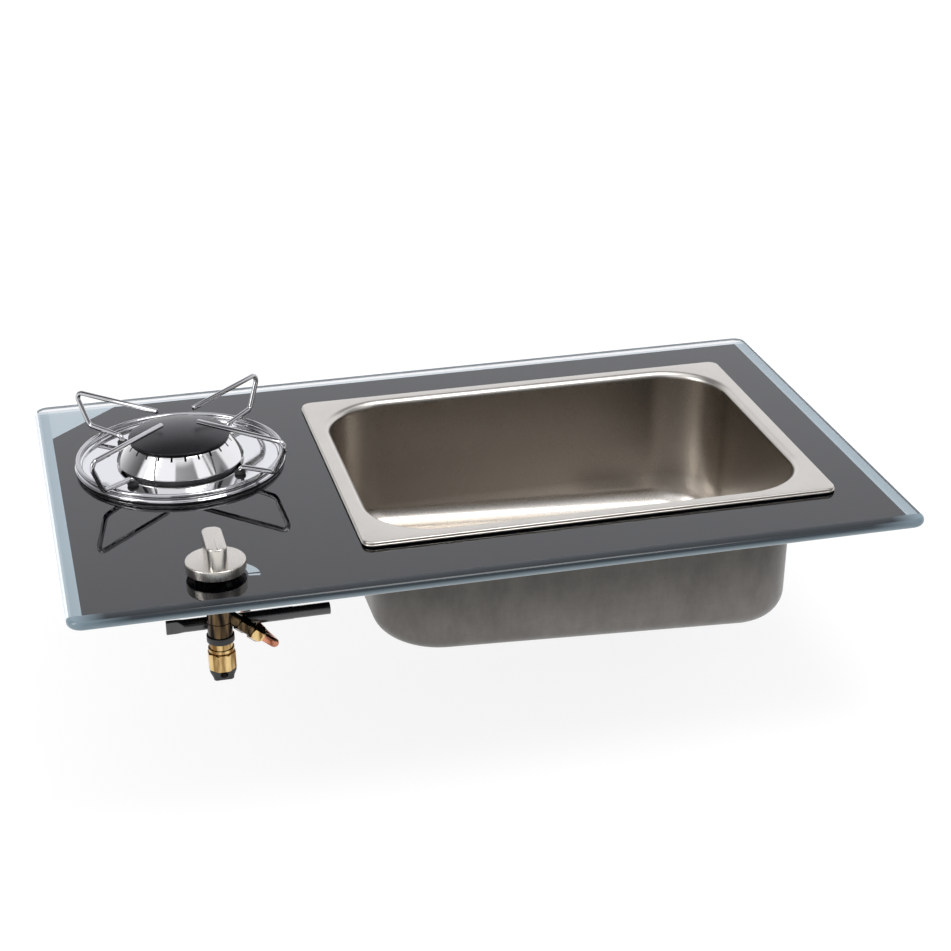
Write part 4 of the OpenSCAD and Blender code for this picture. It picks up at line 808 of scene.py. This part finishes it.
low_z, high_z = CROWN_EDGE + 0.15, CROWN_H - 0.25
skirt = [(skirt_r(z), z) for z in [low_z + (high_z - low_z) * i / 24 for i in range(25)]]
section = (
    [(FOOT_IN, 0.0)]
    + arc((CROWN_LOW - SOFT_EDGE, SOFT_EDGE), SOFT_EDGE, -90, 0, 4)
    + [(CROWN_LOW, 0.45), (CROWN_LOW - 0.03, 0.6), (CROWN_LOW - 0.1, 0.7)]
    + skirt
    + [
        (CROWN_TOP - 0.25, CROWN_H), inner_side(CROWN_H), inner_side(SHELF_Z + CROWN_T),
        (MIX_IN, SHELF_Z + CROWN_T), (MIX_IN, MIX_END), (MIX_OUT, MIX_END), (MIX_OUT, SHELF_Z),
        inner_side(SHELF_Z), inner_side(FOOT_T), (FOOT_IN, FOOT_T),
    ]
)
b = Build()
b.lathe(section, crown_at, 192)
skirt_mat = MATS["polished_aluminium"]
crown = b.make("crown_skirt", skirt_mat, "burner_crown", ["burner_crown"], 30)
SLOT_FROM, SLOT_LEN = CROWN_TOP - 4, 8
slot_low, slot_high = CROWN_H - SLOT_H, CROWN_H + 1
slot = [(-SLOT_W / 2, slot_low), (SLOT_W / 2, slot_low), (SLOT_W / 2, slot_high), (-SLOT_W / 2, slot_high)]
cutters = Build()
for i in range(SLOTS):
    spin = Matrix.Rotation(2 * math.pi * i / SLOTS, 4, "Z")
    ends = [[(x, y, z) for y, z in slot] for x in (SLOT_FROM, SLOT_FROM + SLOT_LEN)]
    cutters.loft(ends, place=crown_at @ spin)
combine(crown, cutters, 30)

# Burner cap
CAP_R, CAP_EDGE, CAP_RIM, DOME = 35.3, 1.5, 0.8, 4.6
NECK_R = CROWN_TOP - 2.4
KEY_IN, KEY_OUT, KEY_LOW = NECK_R - 3.4, CROWN_TOP - SKIN_W - 0.6, -1.6
SEAT_R, SEAT_H = CROWN_TOP - 0.5, 0.6
CAP_SOFT = 0.35
CAP_Z = CROWN_Z + CROWN_H
edge_z = CAP_EDGE + CAP_RIM
dome_r = (CAP_R ** 2 + DOME ** 2) / (2 * DOME)


def dome_z(r):
    return edge_z + math.sqrt(dome_r ** 2 - r ** 2) - dome_r + DOME


section = [
    (0.0, -0.2), (KEY_IN, -0.2), (KEY_IN, KEY_LOW), (KEY_OUT, KEY_LOW), (KEY_OUT, 0.0), (SEAT_R, 0.0),
    (SEAT_R, SEAT_H), (NECK_R, SEAT_H), (NECK_R, CAP_EDGE), (CAP_R - CAP_SOFT, CAP_EDGE),
]
section += arc((CAP_R - CAP_SOFT, CAP_EDGE + CAP_SOFT), CAP_SOFT, -90, 0, 5)
section += [(CAP_R, CAP_EDGE + CAP_SOFT + 0.1), (CAP_R - 0.08, edge_z - 0.1)]
section += [(CAP_R - CAP_SOFT, dome_z(CAP_R - CAP_SOFT))]
section += [(r, dome_z(r)) for r in [CAP_R * (1 - i / 24) for i in range(1, 24)]]
section += [(0.0, edge_z + DOME)]
b = Build()
b.lathe(section, hob @ at(0, 0, CAP_Z), 192, loop=False)
b.make("cap_dome", MATS["black_enamel"], "burner_cap", ["burner_cap"], 40)

# Pan support
WIRE_R, WIRE_RING, WIRE_Z = 1.8, 71.0, 10.9
FEET_R, FOOT_H, FOOT_GRIP, FOOT_R = 52.0, 2.6, 1.8, 4.0
ARM_ANGLES = (45, 135, 225, 315)
ARM_LOW = WIRE_Z + WIRE_R * 0.9
ARM_Z = 39.3
# Distance from the burner's middle and height, from the foot to the inner tip
ARM_PATH = [
    (FEET_R, TRAY_Z + FOOT_H - FOOT_GRIP), (FEET_R, ARM_LOW + 0.2), (82.0, ARM_LOW + 2.8),
    (93.7, ARM_Z), (17.7, ARM_Z),
]
BEND_R = 4.5


def bent(points, bend, steps):
    """Flat path through corners, with a round bend at each."""
    out = [points[0]]
    for p, q, s in zip(points, points[1:], points[2:]):
        u, v = (Vector(q) - Vector(p)).normalized(), (Vector(s) - Vector(q)).normalized()
        turned = math.degrees(math.atan2(u.x * v.y - u.y * v.x, u.dot(v)))
        side = 1 if turned > 0 else -1
        start = Vector(q) - u * bend * math.tan(math.radians(abs(turned)) / 2)
        mid = start + Vector((-u.y, u.x)) * side * bend
        first = math.degrees(math.atan2(u.y, u.x)) - side * 90
        out += arc(mid, bend, first, first + turned, steps)
    return out + [points[-1]]


b = Build()
b.tube([(x, y, WIRE_Z) for x, y in circle(0, 0, WIRE_RING, 160)], WIRE_R, 24, True, hob)
arm = [(x, 0, z) for x, z in bent(ARM_PATH, BEND_R, 12)]
for a in ARM_ANGLES:
    spin = Matrix.Rotation(math.radians(a), 4, "Z")
    b.tube(arm, WIRE_R, 24, False, hob @ spin, 0.4)
b.make("support_wire", MATS["chrome_wire"], "pan_support", ["pan_support"], 40)

LOW_SOFT, TOP_SOFT = 1.1, 1.4
section = (
    [(0, 0.0), (FOOT_R - LOW_SOFT, 0.0)]
    + arc((FOOT_R - LOW_SOFT, LOW_SOFT), LOW_SOFT, -90, 0, 6)
    + arc((FOOT_R - TOP_SOFT, FOOT_H - TOP_SOFT), TOP_SOFT, 0, 90, 8)
    + [(WIRE_R, FOOT_H), (WIRE_R, FOOT_H - FOOT_GRIP), (0, FOOT_H - FOOT_GRIP)]
)
b = Build()
for a in ARM_ANGLES:
    spin = Matrix.Rotation(math.radians(a), 4, "Z")
    b.lathe(section, hob @ spin @ at(FEET_R, 0, TRAY_Z), 40, loop=False)
b.make("feet_rubber", MATS["gasket"], "pan_support", ["support_feet"], 40)

# Knob
KNOB_R, KNOB_Z, KNOB_DISC = 19.2, 9.5, 6.8
KNOB_TOP = KNOB_Z + KNOB_DISC
KNOB_SOFT, KNOB_LOW_SOFT = 0.8, 0.5
GRIP_W, GRIP_LEN, GRIP_H, GRIP_CORNER, GRIP_SOFT = 12.6, 36.0, 14.5, 5.6, 0.9
POCKET_R, POCKET_TOP = 14.0, KNOB_TOP - 2.2
HUB_R, HUB_LOW = 5.4, 12.0
SOCKET_R, SOCKET_TOP = 3.1, KNOB_TOP + 10
tap = at(*TAP)


def grip_ring(inset, z):
    """Outline of the grip bar, its ends on the knob's own round."""
    out = []
    limit = GRIP_LEN / 2 - inset
    for x, y in round_rect(GRIP_W - 2 * inset, GRIP_LEN - 1 - 2 * inset, GRIP_CORNER - inset, 14):
        r = math.hypot(x, y)
        k = min(1.0, limit / r)
        out.append((x * k, y * k, z))
    return out


section = (
    [(0, KNOB_TOP), (KNOB_R - KNOB_SOFT, KNOB_TOP)]
    + arc((KNOB_R - KNOB_SOFT, KNOB_TOP - KNOB_SOFT), KNOB_SOFT, 90, 0, 6)
    + arc((KNOB_R - KNOB_LOW_SOFT, KNOB_Z + KNOB_LOW_SOFT), KNOB_LOW_SOFT, 0, -90, 5)
    + [
        (POCKET_R, KNOB_Z), (POCKET_R, POCKET_TOP), (HUB_R, POCKET_TOP), (HUB_R, HUB_LOW),
        (SOCKET_R, HUB_LOW), (SOCKET_R, SOCKET_TOP), (0, SOCKET_TOP),
    ]
)
b = Build()
b.lathe(section, tap, 128, loop=False)
grip_top = KNOB_TOP + GRIP_H
rings = [grip_ring(0, KNOB_TOP - 0.4)]
rings += [grip_ring(0, KNOB_TOP + GRIP_H * k) for k in (0.3, 0.6)]
for a in range(0, 91, 15):
    in_by = GRIP_SOFT * (1 - math.cos(math.radians(a)))
    rings.append(grip_ring(in_by, grip_top - GRIP_SOFT + GRIP_SOFT * math.sin(math.radians(a))))
b.loft(rings, place=tap)
knob = b.make("knob_metal", MATS["satin_nickel"], "knob", ["knob"], 34)

# Engraved line on the grip
LINE_HALF, LINE_DEEP, LINE_FROM, LINE_TO = 0.3, 0.25, -15.5, -3.0
line_low, line_high = grip_top - LINE_DEEP, grip_top + 1
groove = [(-LINE_HALF, line_low), (LINE_HALF, line_low), (LINE_HALF, line_high), (-LINE_HALF, line_high)]
line = Build()
line.loft([[(x, y, z) for x, z in groove] for y in (LINE_FROM, LINE_TO)], place=tap)
combine(knob, line, 34)

# Tap below the glass
SLANT = 39.7
OUTLET_Z = -20.0
outlet = tap @ at(0, 0, OUTLET_Z) @ Matrix.Rotation(math.radians(90 + SLANT), 4, "Y")
PIPE_R = 3.0
OUTLET_FROM, OUTLET_LEN, GLAND_LEN = 15.2, 11.0, 8.5
OUTLET_AF, GLAND_AF = 9.6, 10.4
OUTLET_END = OUTLET_FROM + OUTLET_LEN
GLAND_END = OUTLET_END + GLAND_LEN
COLUMN_R, COLUMN_LOW = 8.0, -41.2
COLLAR_R, COLLAR_H = 8.9, 4.4
HOUSING_H, NUT_H, PLUG_H = 7.6, 11.5, 7.0
HOUSING_LOW = COLUMN_LOW - HOUSING_H
BRASS_AF = 17.2
BORE = 5.0
RAIL_Z, RAIL_Y = -34.9, -118.2


def rounded(points, r, steps=3):
    """Section with every outward corner softened."""
    out = []
    n = len(points)
    for i in range(n):
        p, q, s = (Vector(points[(i + k) % n]) for k in (-1, 0, 1))
        u, v = (p - q), (s - q)
        if u.length < 1e-6 or v.length < 1e-6:
            continue
        cut = min(r, u.length * 0.4, v.length * 0.4)
        a, c = q + u.normalized() * cut, q + v.normalized() * cut
        for k in range(steps + 1):
            t = k / steps
            out.append(tuple((1 - t) ** 2 * a + 2 * t * (1 - t) * q + t * t * c))
    return out


def pipe_section(bore, outer, low, high, soft):
    """Section of a plain tube with softened edges."""
    return rounded([(bore, low), (outer, low), (outer, high), (bore, high)], soft)


# Head, bores from the top down, and a seam groove round the column
HEAD_R, HEAD_LOW, HEAD_TOP, SEAM_Z, SEAM_CUT = 12.8, -14.5, -4.5, -27.0, 0.4
SPRING_BORE, SPRING_END = 5.2, -13.5
PLUG_BORE, PLUG_BORE_LOW, PLUG_END = 4.06, 3.46, -29.5
SEAT_TOP, SEAT_LOW, SEAT_BORE, VALVE_BORE = -30.8, -32.0, 2.2, 3.7
body = [
    (HEAD_R, HEAD_LOW), (HEAD_R, HEAD_TOP), (SPRING_BORE, HEAD_TOP), (SPRING_BORE, SPRING_END),
    (PLUG_BORE, SPRING_END), (PLUG_BORE_LOW, PLUG_END), (PLUG_BORE_LOW, SEAT_TOP), (SEAT_BORE, SEAT_TOP),
    (SEAT_BORE, SEAT_LOW), (VALVE_BORE, SEAT_LOW), (VALVE_BORE, COLUMN_LOW), (COLUMN_R, COLUMN_LOW),
    (COLUMN_R, SEAM_Z - SEAM_CUT), (COLUMN_R - SEAM_CUT, SEAM_Z), (COLUMN_R, SEAM_Z + SEAM_CUT),
    (COLUMN_R, HEAD_LOW),
]
b = Build()
b.lathe(rounded(body, 0.25), tap, 128)
b.lathe(pipe_section(2.0, 4.4, COLUMN_R - 1.5, OUTLET_FROM, 0.2), outlet, 64)
tap_dark = b.make("tap_dark", MATS["dark_brass"], "root", ["tap_body"], 34)

# Pad behind the column, which holds the rail
PAD_HALF_W, PAD_HALF_H, HOLD_R = 4.5, 9.05, 4.35
PAD_IN, PAD_GAP = COLUMN_R - 0.8, 0.15
rail_back = RAIL_Y - TAP[1]
collar_top = COLUMN_LOW + COLLAR_H
hold = [(rail_back + y, RAIL_Z + z) for y, z in arc((0, 0), HOLD_R, 90, 270, 24)]
side = [(PAD_IN, RAIL_Z + PAD_HALF_H), (rail_back, RAIL_Z + PAD_HALF_H)] + hold
side += [
    (rail_back, RAIL_Z - PAD_HALF_H), (COLLAR_R + PAD_GAP, RAIL_Z - PAD_HALF_H),
    (COLLAR_R + PAD_GAP, collar_top), (PAD_IN, collar_top),
]
pad = Build()
pad.loft([[(x, y, z) for y, z in side] for x in (-PAD_HALF_W, PAD_HALF_W)], place=tap)
combine(tap_dark, pad, 34, "UNION")

HOUSING_R, SHOULDER_R, HOUSING_FOOT_R = 7.4, 8.4, 7.2
SHOULDER_LOW, SHOULDER_TOP = 1.0, 3.2
housing = [
    (BORE, 0), (HOUSING_FOOT_R, 0), (HOUSING_FOOT_R, SHOULDER_LOW), (SHOULDER_R, SHOULDER_LOW),
    (SHOULDER_R, SHOULDER_TOP), (HOUSING_R, SHOULDER_TOP), (HOUSING_R, HOUSING_H), (BORE, HOUSING_H),
]
b = Build()
b.lathe(rounded(housing, 0.25), tap @ at(0, 0, HOUSING_LOW), 96)
b.make("housing_brass", MATS["brass"], "root", ["magnet_housing"], 40)

EIGHT_FIRST = 22.5
b = Build()
nut_at = tap @ at(0, 0, HOUSING_LOW - NUT_H)
nut(b, BRASS_AF, NUT_H, BORE, nut_at, 0.9, low=False, sides=8, first=EIGHT_FIRST)
b.make("magnet_nut_brass", MATS["brass"], "root", ["magnet_nut"], 30)

b = Build()
b.lathe(pipe_section(COLUMN_R + 0.05, COLLAR_R, 0, COLLAR_H, 0.4), tap @ at(0, 0, COLUMN_LOW), 96)
b.make("collar_black", MATS["black_plastic"], "root", ["lock_ring"], 40)

# Plug: eight-sided at the top, square below, with a round notch and a socket for the lead
PLUG_LOW = HOUSING_LOW - NUT_H - PLUG_H
LOW_W = 12.8
EIGHT = flats(BRASS_AF - 0.3, 8, EIGHT_FIRST, 8)
# Share of the eight sides, inset and height of each outline
PLUG_RINGS = [
    (0, 0.8, 0.0), (0, 0.2, 0.12), (0, 0.0, 0.4), (0, 0.0, 0.6), (1, 0.0, PLUG_H - 1.5),
    (1, 0.0, PLUG_H - 0.35), (1, 0.12, PLUG_H - 0.1), (1, 0.5, PLUG_H),
]


def plug_ring(share, inset, z):
    """Outline between the square below (0) and the eight sides above (1)."""
    out = []
    for r, a in EIGHT:
        c, s = abs(math.cos(a)), abs(math.sin(a))
        square = min(LOW_W / 2 / max(c, s), LOW_W / 2 * math.sqrt(2) - 0.9 + 0.35 * abs(c - s))
        d = r * share + square * (1 - share) - inset
        out.append((d * math.cos(a), d * math.sin(a), z))
    return out


b = Build()
b.loft([plug_ring(*ring) for ring in PLUG_RINGS], place=tap @ at(0, 0, PLUG_LOW))
plug = b.make("lead_plug", MATS["black_plastic"], "root", ["thermocouple_plug"], 38)
SOCKET_Y, LEAD_R = LOW_W / 2 - 1.6, 1.2
LEAD_Z = PLUG_LOW + PLUG_H * 0.45
NOTCH_R, NOTCH_HALF, NOTCH_TILT = 2.6, 12, -52
notch_at = tap @ at(0, -LOW_W, PLUG_LOW + PLUG_H * 0.1) @ Matrix.Rotation(math.radians(NOTCH_TILT), 4, "X")
socket_at = tap @ at(0, SOCKET_Y, LEAD_Z) @ Matrix.Rotation(math.radians(-90), 4, "X")
cuts = Build()
for r, ends, where in ((NOTCH_R, (-NOTCH_HALF, NOTCH_HALF), notch_at), (LEAD_R + 0.3, (0, LOW_W), socket_at)):
    cuts.loft([[(x, y, z) for x, y in circle(0, 0, r, 48)] for z in ends], place=where)
combine(plug, cuts, 38)

# Outlet nut and pipe gland: a hexagon with a round neck
bore = PIPE_R + 0.1
for name, mat, node, af, length, hex_share, neck_share, neck_in, start in (
    ("outlet_nut_dark", "dark_brass", "outlet_nut", OUTLET_AF, OUTLET_LEN, 0.62, 0.6, 0.4, OUTLET_FROM),
    ("gland_brass", "brass", "pipe_gland", GLAND_AF, GLAND_LEN, 0.8, 0.78, 1, OUTLET_END),
):
    b = Build()
    where = outlet @ at(0, 0, start)
    nut(b, af, length * hex_share, bore, where)
    b.lathe(pipe_section(bore, af / 2 - neck_in, length * neck_share, length, 0.3), where, 64)
    b.make(name, MATS[mat], "root", [node], 34)


def smooth_path(points, steps):
    """Catmull-Rom curve through points."""
    pts = [Vector(p) for p in points]
    out = []
    for i in range(len(pts) - 1):
        p0, p1, p2, p3 = pts[max(i - 1, 0)], pts[i], pts[i + 1], pts[min(i + 2, len(pts) - 1)]
        for s in range(steps):
            t = s / steps
            out.append(0.5 * (2 * p1 + (p2 - p0) * t + (2 * p0 - 5 * p1 + 4 * p2 - p3) * t * t
                              + (3 * p1 - p0 - 3 * p2 + p3) * t ** 3))
    return out + [pts[-1]]


def outlet_point(dist):
    """Point on the outlet's slanted axis."""
    a = math.radians(SLANT)
    return (TAP[0] + dist * math.cos(a), TAP[1], OUTLET_Z - dist * math.sin(a))


def placed(middle, points):
    return [(middle[0] + x, middle[1] + y, z) for x, y, z in points]


# Routes, measured from the tap's axis and then from the burner's
JET_LOW = -37.0
PIPE_NEAR = [(33.8, 7, -50.3), (30.4, 18, -50.5), (25.5, 33, -48.5), (20.5, 48, -45.5), (14, 69, -42)]
PIPE_FAR = [
    (7.5, -85, -41), (2, -55, -43), (0.2, -28, -47), (0, -12, -50.5), (0, -3, JET_LOW - 12),
    (0, 0, JET_LOW - 8), (0, 0, JET_LOW - 4), (0, 0, JET_LOW),
]
route = [outlet_point(OUTLET_FROM + 0.5), outlet_point(GLAND_END), outlet_point(GLAND_END + 9)]
route += placed(TAP, PIPE_NEAR) + placed(HOB, PIPE_FAR)
b = Build()
b.tube(smooth_path(route, 8), PIPE_R, 24)
b.make("pipe_copper", MATS["copper"], "root", ["gas_pipe"], 40)

LEAD_NEAR = [
    (1.4, 16.5, -62.5), (2.2, 20, -57.5), (2.4, 21, -48), (2.4, 21.4, -38), (2, 24, -31),
    (1, 35, -26.5), (-6, 61, -24),
]
LEAD_FAR = [
    (-21, -90, -22), (-37, -56, -21), (-44, -16, -21), (-39, 20, -22), (-23, 44, -24), (-8, 51, -26.5),
]
SENSOR = (HOB[0], HOB[1] + 49.0)
SENSOR_LOW, SENSOR_R, SENSOR_LEN = -15.6, 2.2, 30.4
lead_start = [(0, SOCKET_Y + 0.06 + y, LEAD_Z) for y in (0, 2, 4)]
route = placed(TAP, lead_start + LEAD_NEAR) + placed(HOB, LEAD_FAR)
route += [(*SENSOR, SENSOR_LOW - z) for z in (6, 3, 0)]
b = Build()
b.tube(smooth_path(route, 8), LEAD_R, 16)
b.make("lead_copper", MATS["copper"], "root", ["thermocouple_lead"], 40)

b = Build()
section = [(0, 0), (SENSOR_R, 0)] + arc((0, SENSOR_LEN), SENSOR_R, 0, 90, 10)
b.lathe(section, at(*SENSOR, SENSOR_LOW), 40, loop=False)
b.make("sensor_tip", MATS["zinc_steel"], "root", ["thermocouple"], 40)

# Rail: round tube with a pressed end
RAIL_FROM, RAIL_TO, INLET = TAP[0] - 33.0, TAP[0] + 73.0, 24.0
RAIL_R, INLET_R, RAIL_WALL = 4.2, 4.0, 1.0
PRESSED_H, PRESSED_R, PRESSED_LEN = 10.0, 1.5, 6.0
INLET_BORE = INLET_R - RAIL_WALL


def rail_ring(x, up, r, sides=40):
    """Upright oval: its full height and the radius of its corners."""
    out = []
    for i in range(sides):
        a = 2 * math.pi * (i + 0.5) / sides
        z = math.copysign(up / 2 - r, math.sin(a)) + r * math.sin(a)
        out.append((x, RAIL_Y + r * math.cos(a), RAIL_Z + z))
    return out


rings = [
    rail_ring(RAIL_FROM, 9.4, 1.2), rail_ring(RAIL_FROM + 0.3, PRESSED_H, PRESSED_R),
    rail_ring(RAIL_FROM + PRESSED_LEN, PRESSED_H, PRESSED_R),
]
for k in range(1, 9):
    t = k / 8
    ease = t * t * (3 - 2 * t)
    up = PRESSED_H + (2 * RAIL_R - PRESSED_H) * ease
    r = PRESSED_R + (RAIL_R - PRESSED_R) * ease
    rings.append(rail_ring(RAIL_FROM + PRESSED_LEN * (1 + t), up, r))
for x, r in (
    (RAIL_TO - INLET - 0.3, RAIL_R), (RAIL_TO - INLET, INLET_R), (RAIL_TO - 0.25, INLET_R),
    (RAIL_TO, INLET_R - 0.2), (RAIL_TO, INLET_BORE + 0.1), (RAIL_TO - 0.2, INLET_BORE),
    (RAIL_FROM + 15, INLET_BORE),
):
    rings.append(rail_ring(x, 2 * r, r))
b = Build()
b.loft(rings)
b.make("rail_tube", MATS["black_steel"], "root", ["gas_rail"], 40)

# The return spring's box, and a mesh of its own
low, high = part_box("return_spring")
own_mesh(frame["nodes"]["return_spring"])

# CAD nodes that stay
NODE_MATS = {s["node"]: s["material_slot"] for s in frame["record"]["subparts"]}
for name, node in frame["nodes"].items():
    m = MATS[NODE_MATS[name]]
    if not node.material_slots:
        node.data.materials.append(m)
    for s in node.material_slots:
        s.material = m

# Floor
GROUND = cad_box[0].z - 0.0005
FLOOR_HALF = 30.0
signs = ((-1, -1), (1, -1), (1, 1), (-1, 1))
floor_corners = [(sx * FLOOR_HALF, sy * FLOOR_HALF, GROUND) for sx, sy in signs]
floor_mesh = bpy.data.meshes.new("floor")
floor_mesh.from_pydata(floor_corners, [], [(0, 1, 2, 3)])
floor = bpy.data.objects.new("floor", floor_mesh)
bpy.context.scene.collection.objects.link(floor)
fm = material("floor", (0.2, 0.2, 0.2, 1), 0, 0.9, Emission_Color=(1, 1, 1, 1), Emission_Strength=0.84)
floor_mesh.materials.append(fm)

# Studio round the object: share of a turn from -X through the front (0.25), the right (0.5)
# and the back (0.75), and the brightness there
PANELS = [
    (0.0, 1.0), (0.066, 1.0), (0.070, 0.25), (0.074, 1.0), (0.195, 1.0), (0.200, 0.38), (0.320, 0.26),
    (0.328, 1.0), (0.392, 1.0), (0.400, 0.12), (0.412, 0.85), (0.419, 0.8), (0.427, 0.32), (0.49, 0.26),
    (0.505, 0.9), (0.6, 0.96), (0.8, 0.96), (0.84, 0.75), (0.89, 0.42), (0.94, 0.2), (0.985, 0.1),
    (0.998, 1.0),
]
# Dark bands by height, all round, at the back and in front, which give bright wire its dark lines
HIGH_BAND = [(0.0, 1.0), (0.8, 1.0), (0.81, 0.1), (0.845, 0.1), (0.855, 1.0)]
BACK_BAND = [(0.0, 1.0), (0.56, 1.0), (0.66, 0.2), (0.88, 0.2), (0.9, 1.0)]
FRONT_BAND = [(0.0, 1.0), (0.2, 1.0), (0.25, 0.4), (0.46, 0.4), (0.52, 1.0)]
# Heights between which the ceiling begins
CEILING = (0.74, 0.8)
COOL = (0.97, 0.98, 1.03, 1)

world = bpy.data.worlds.new("studio")
bpy.context.scene.world = world
world.use_nodes = True
toward = world.node_tree.nodes.new("ShaderNodeTexCoord").outputs["Generated"]
around = world.node_tree.nodes.new("ShaderNodeTexGradient")
around.gradient_type = "RADIAL"
world.node_tree.links.new(toward, around.inputs["Vector"])
parts = parts_of(world, toward)


def grey_ramp(stops, value):
    return ramp(world, value, [(share, (grey, grey, grey, 1)) for share, grey in stops])


high = spread(world, parts["Z"], 0, 1, *CEILING, "SMOOTHSTEP")
light = mixed(world, high, grey_ramp(PANELS, around.outputs["Fac"]), (1, 1, 1, 1))
at_back = spread(world, parts["Y"], 0, 1, 0.12, 0.2)
in_front = spread(world, parts["Y"], 0, 1, -0.1, -0.2)
for band, share in ((HIGH_BAND, 1.0), (BACK_BAND, at_back), (FRONT_BAND, in_front)):
    light = mixed(world, share, light, grey_ramp(band, parts["Z"]), "MULTIPLY")
backdrop = world.node_tree.nodes["Background"]
world.node_tree.links.new(mixed(world, 1.0, light, COOL, "MULTIPLY"), backdrop.inputs["Color"])
backdrop.inputs["Strength"].default_value = 1.12


def softbox(name, place, aim, size, power):
    """Area light at a place, turned to a point."""
    data = bpy.data.lights.new(name, "AREA")
    data.shape = "RECTANGLE"
    data.size, data.size_y = size
    data.energy = power
    o = bpy.data.objects.new(name, data)
    bpy.context.scene.collection.objects.link(o)
    o.location = place
    o.rotation_euler = (Vector(aim) - Vector(place)).to_track_quat("-Z", "Y").to_euler()


softbox("overhead", (0.35, -0.4, 1.75), (0.2, 0, 0), (0.75, 0.8), 11)
softbox("left", (-1.6, -0.5, 0.9), (0, 0, 0), (0.5, 1.2), 9)

bpy.context.scene.view_settings.view_transform = "Standard"
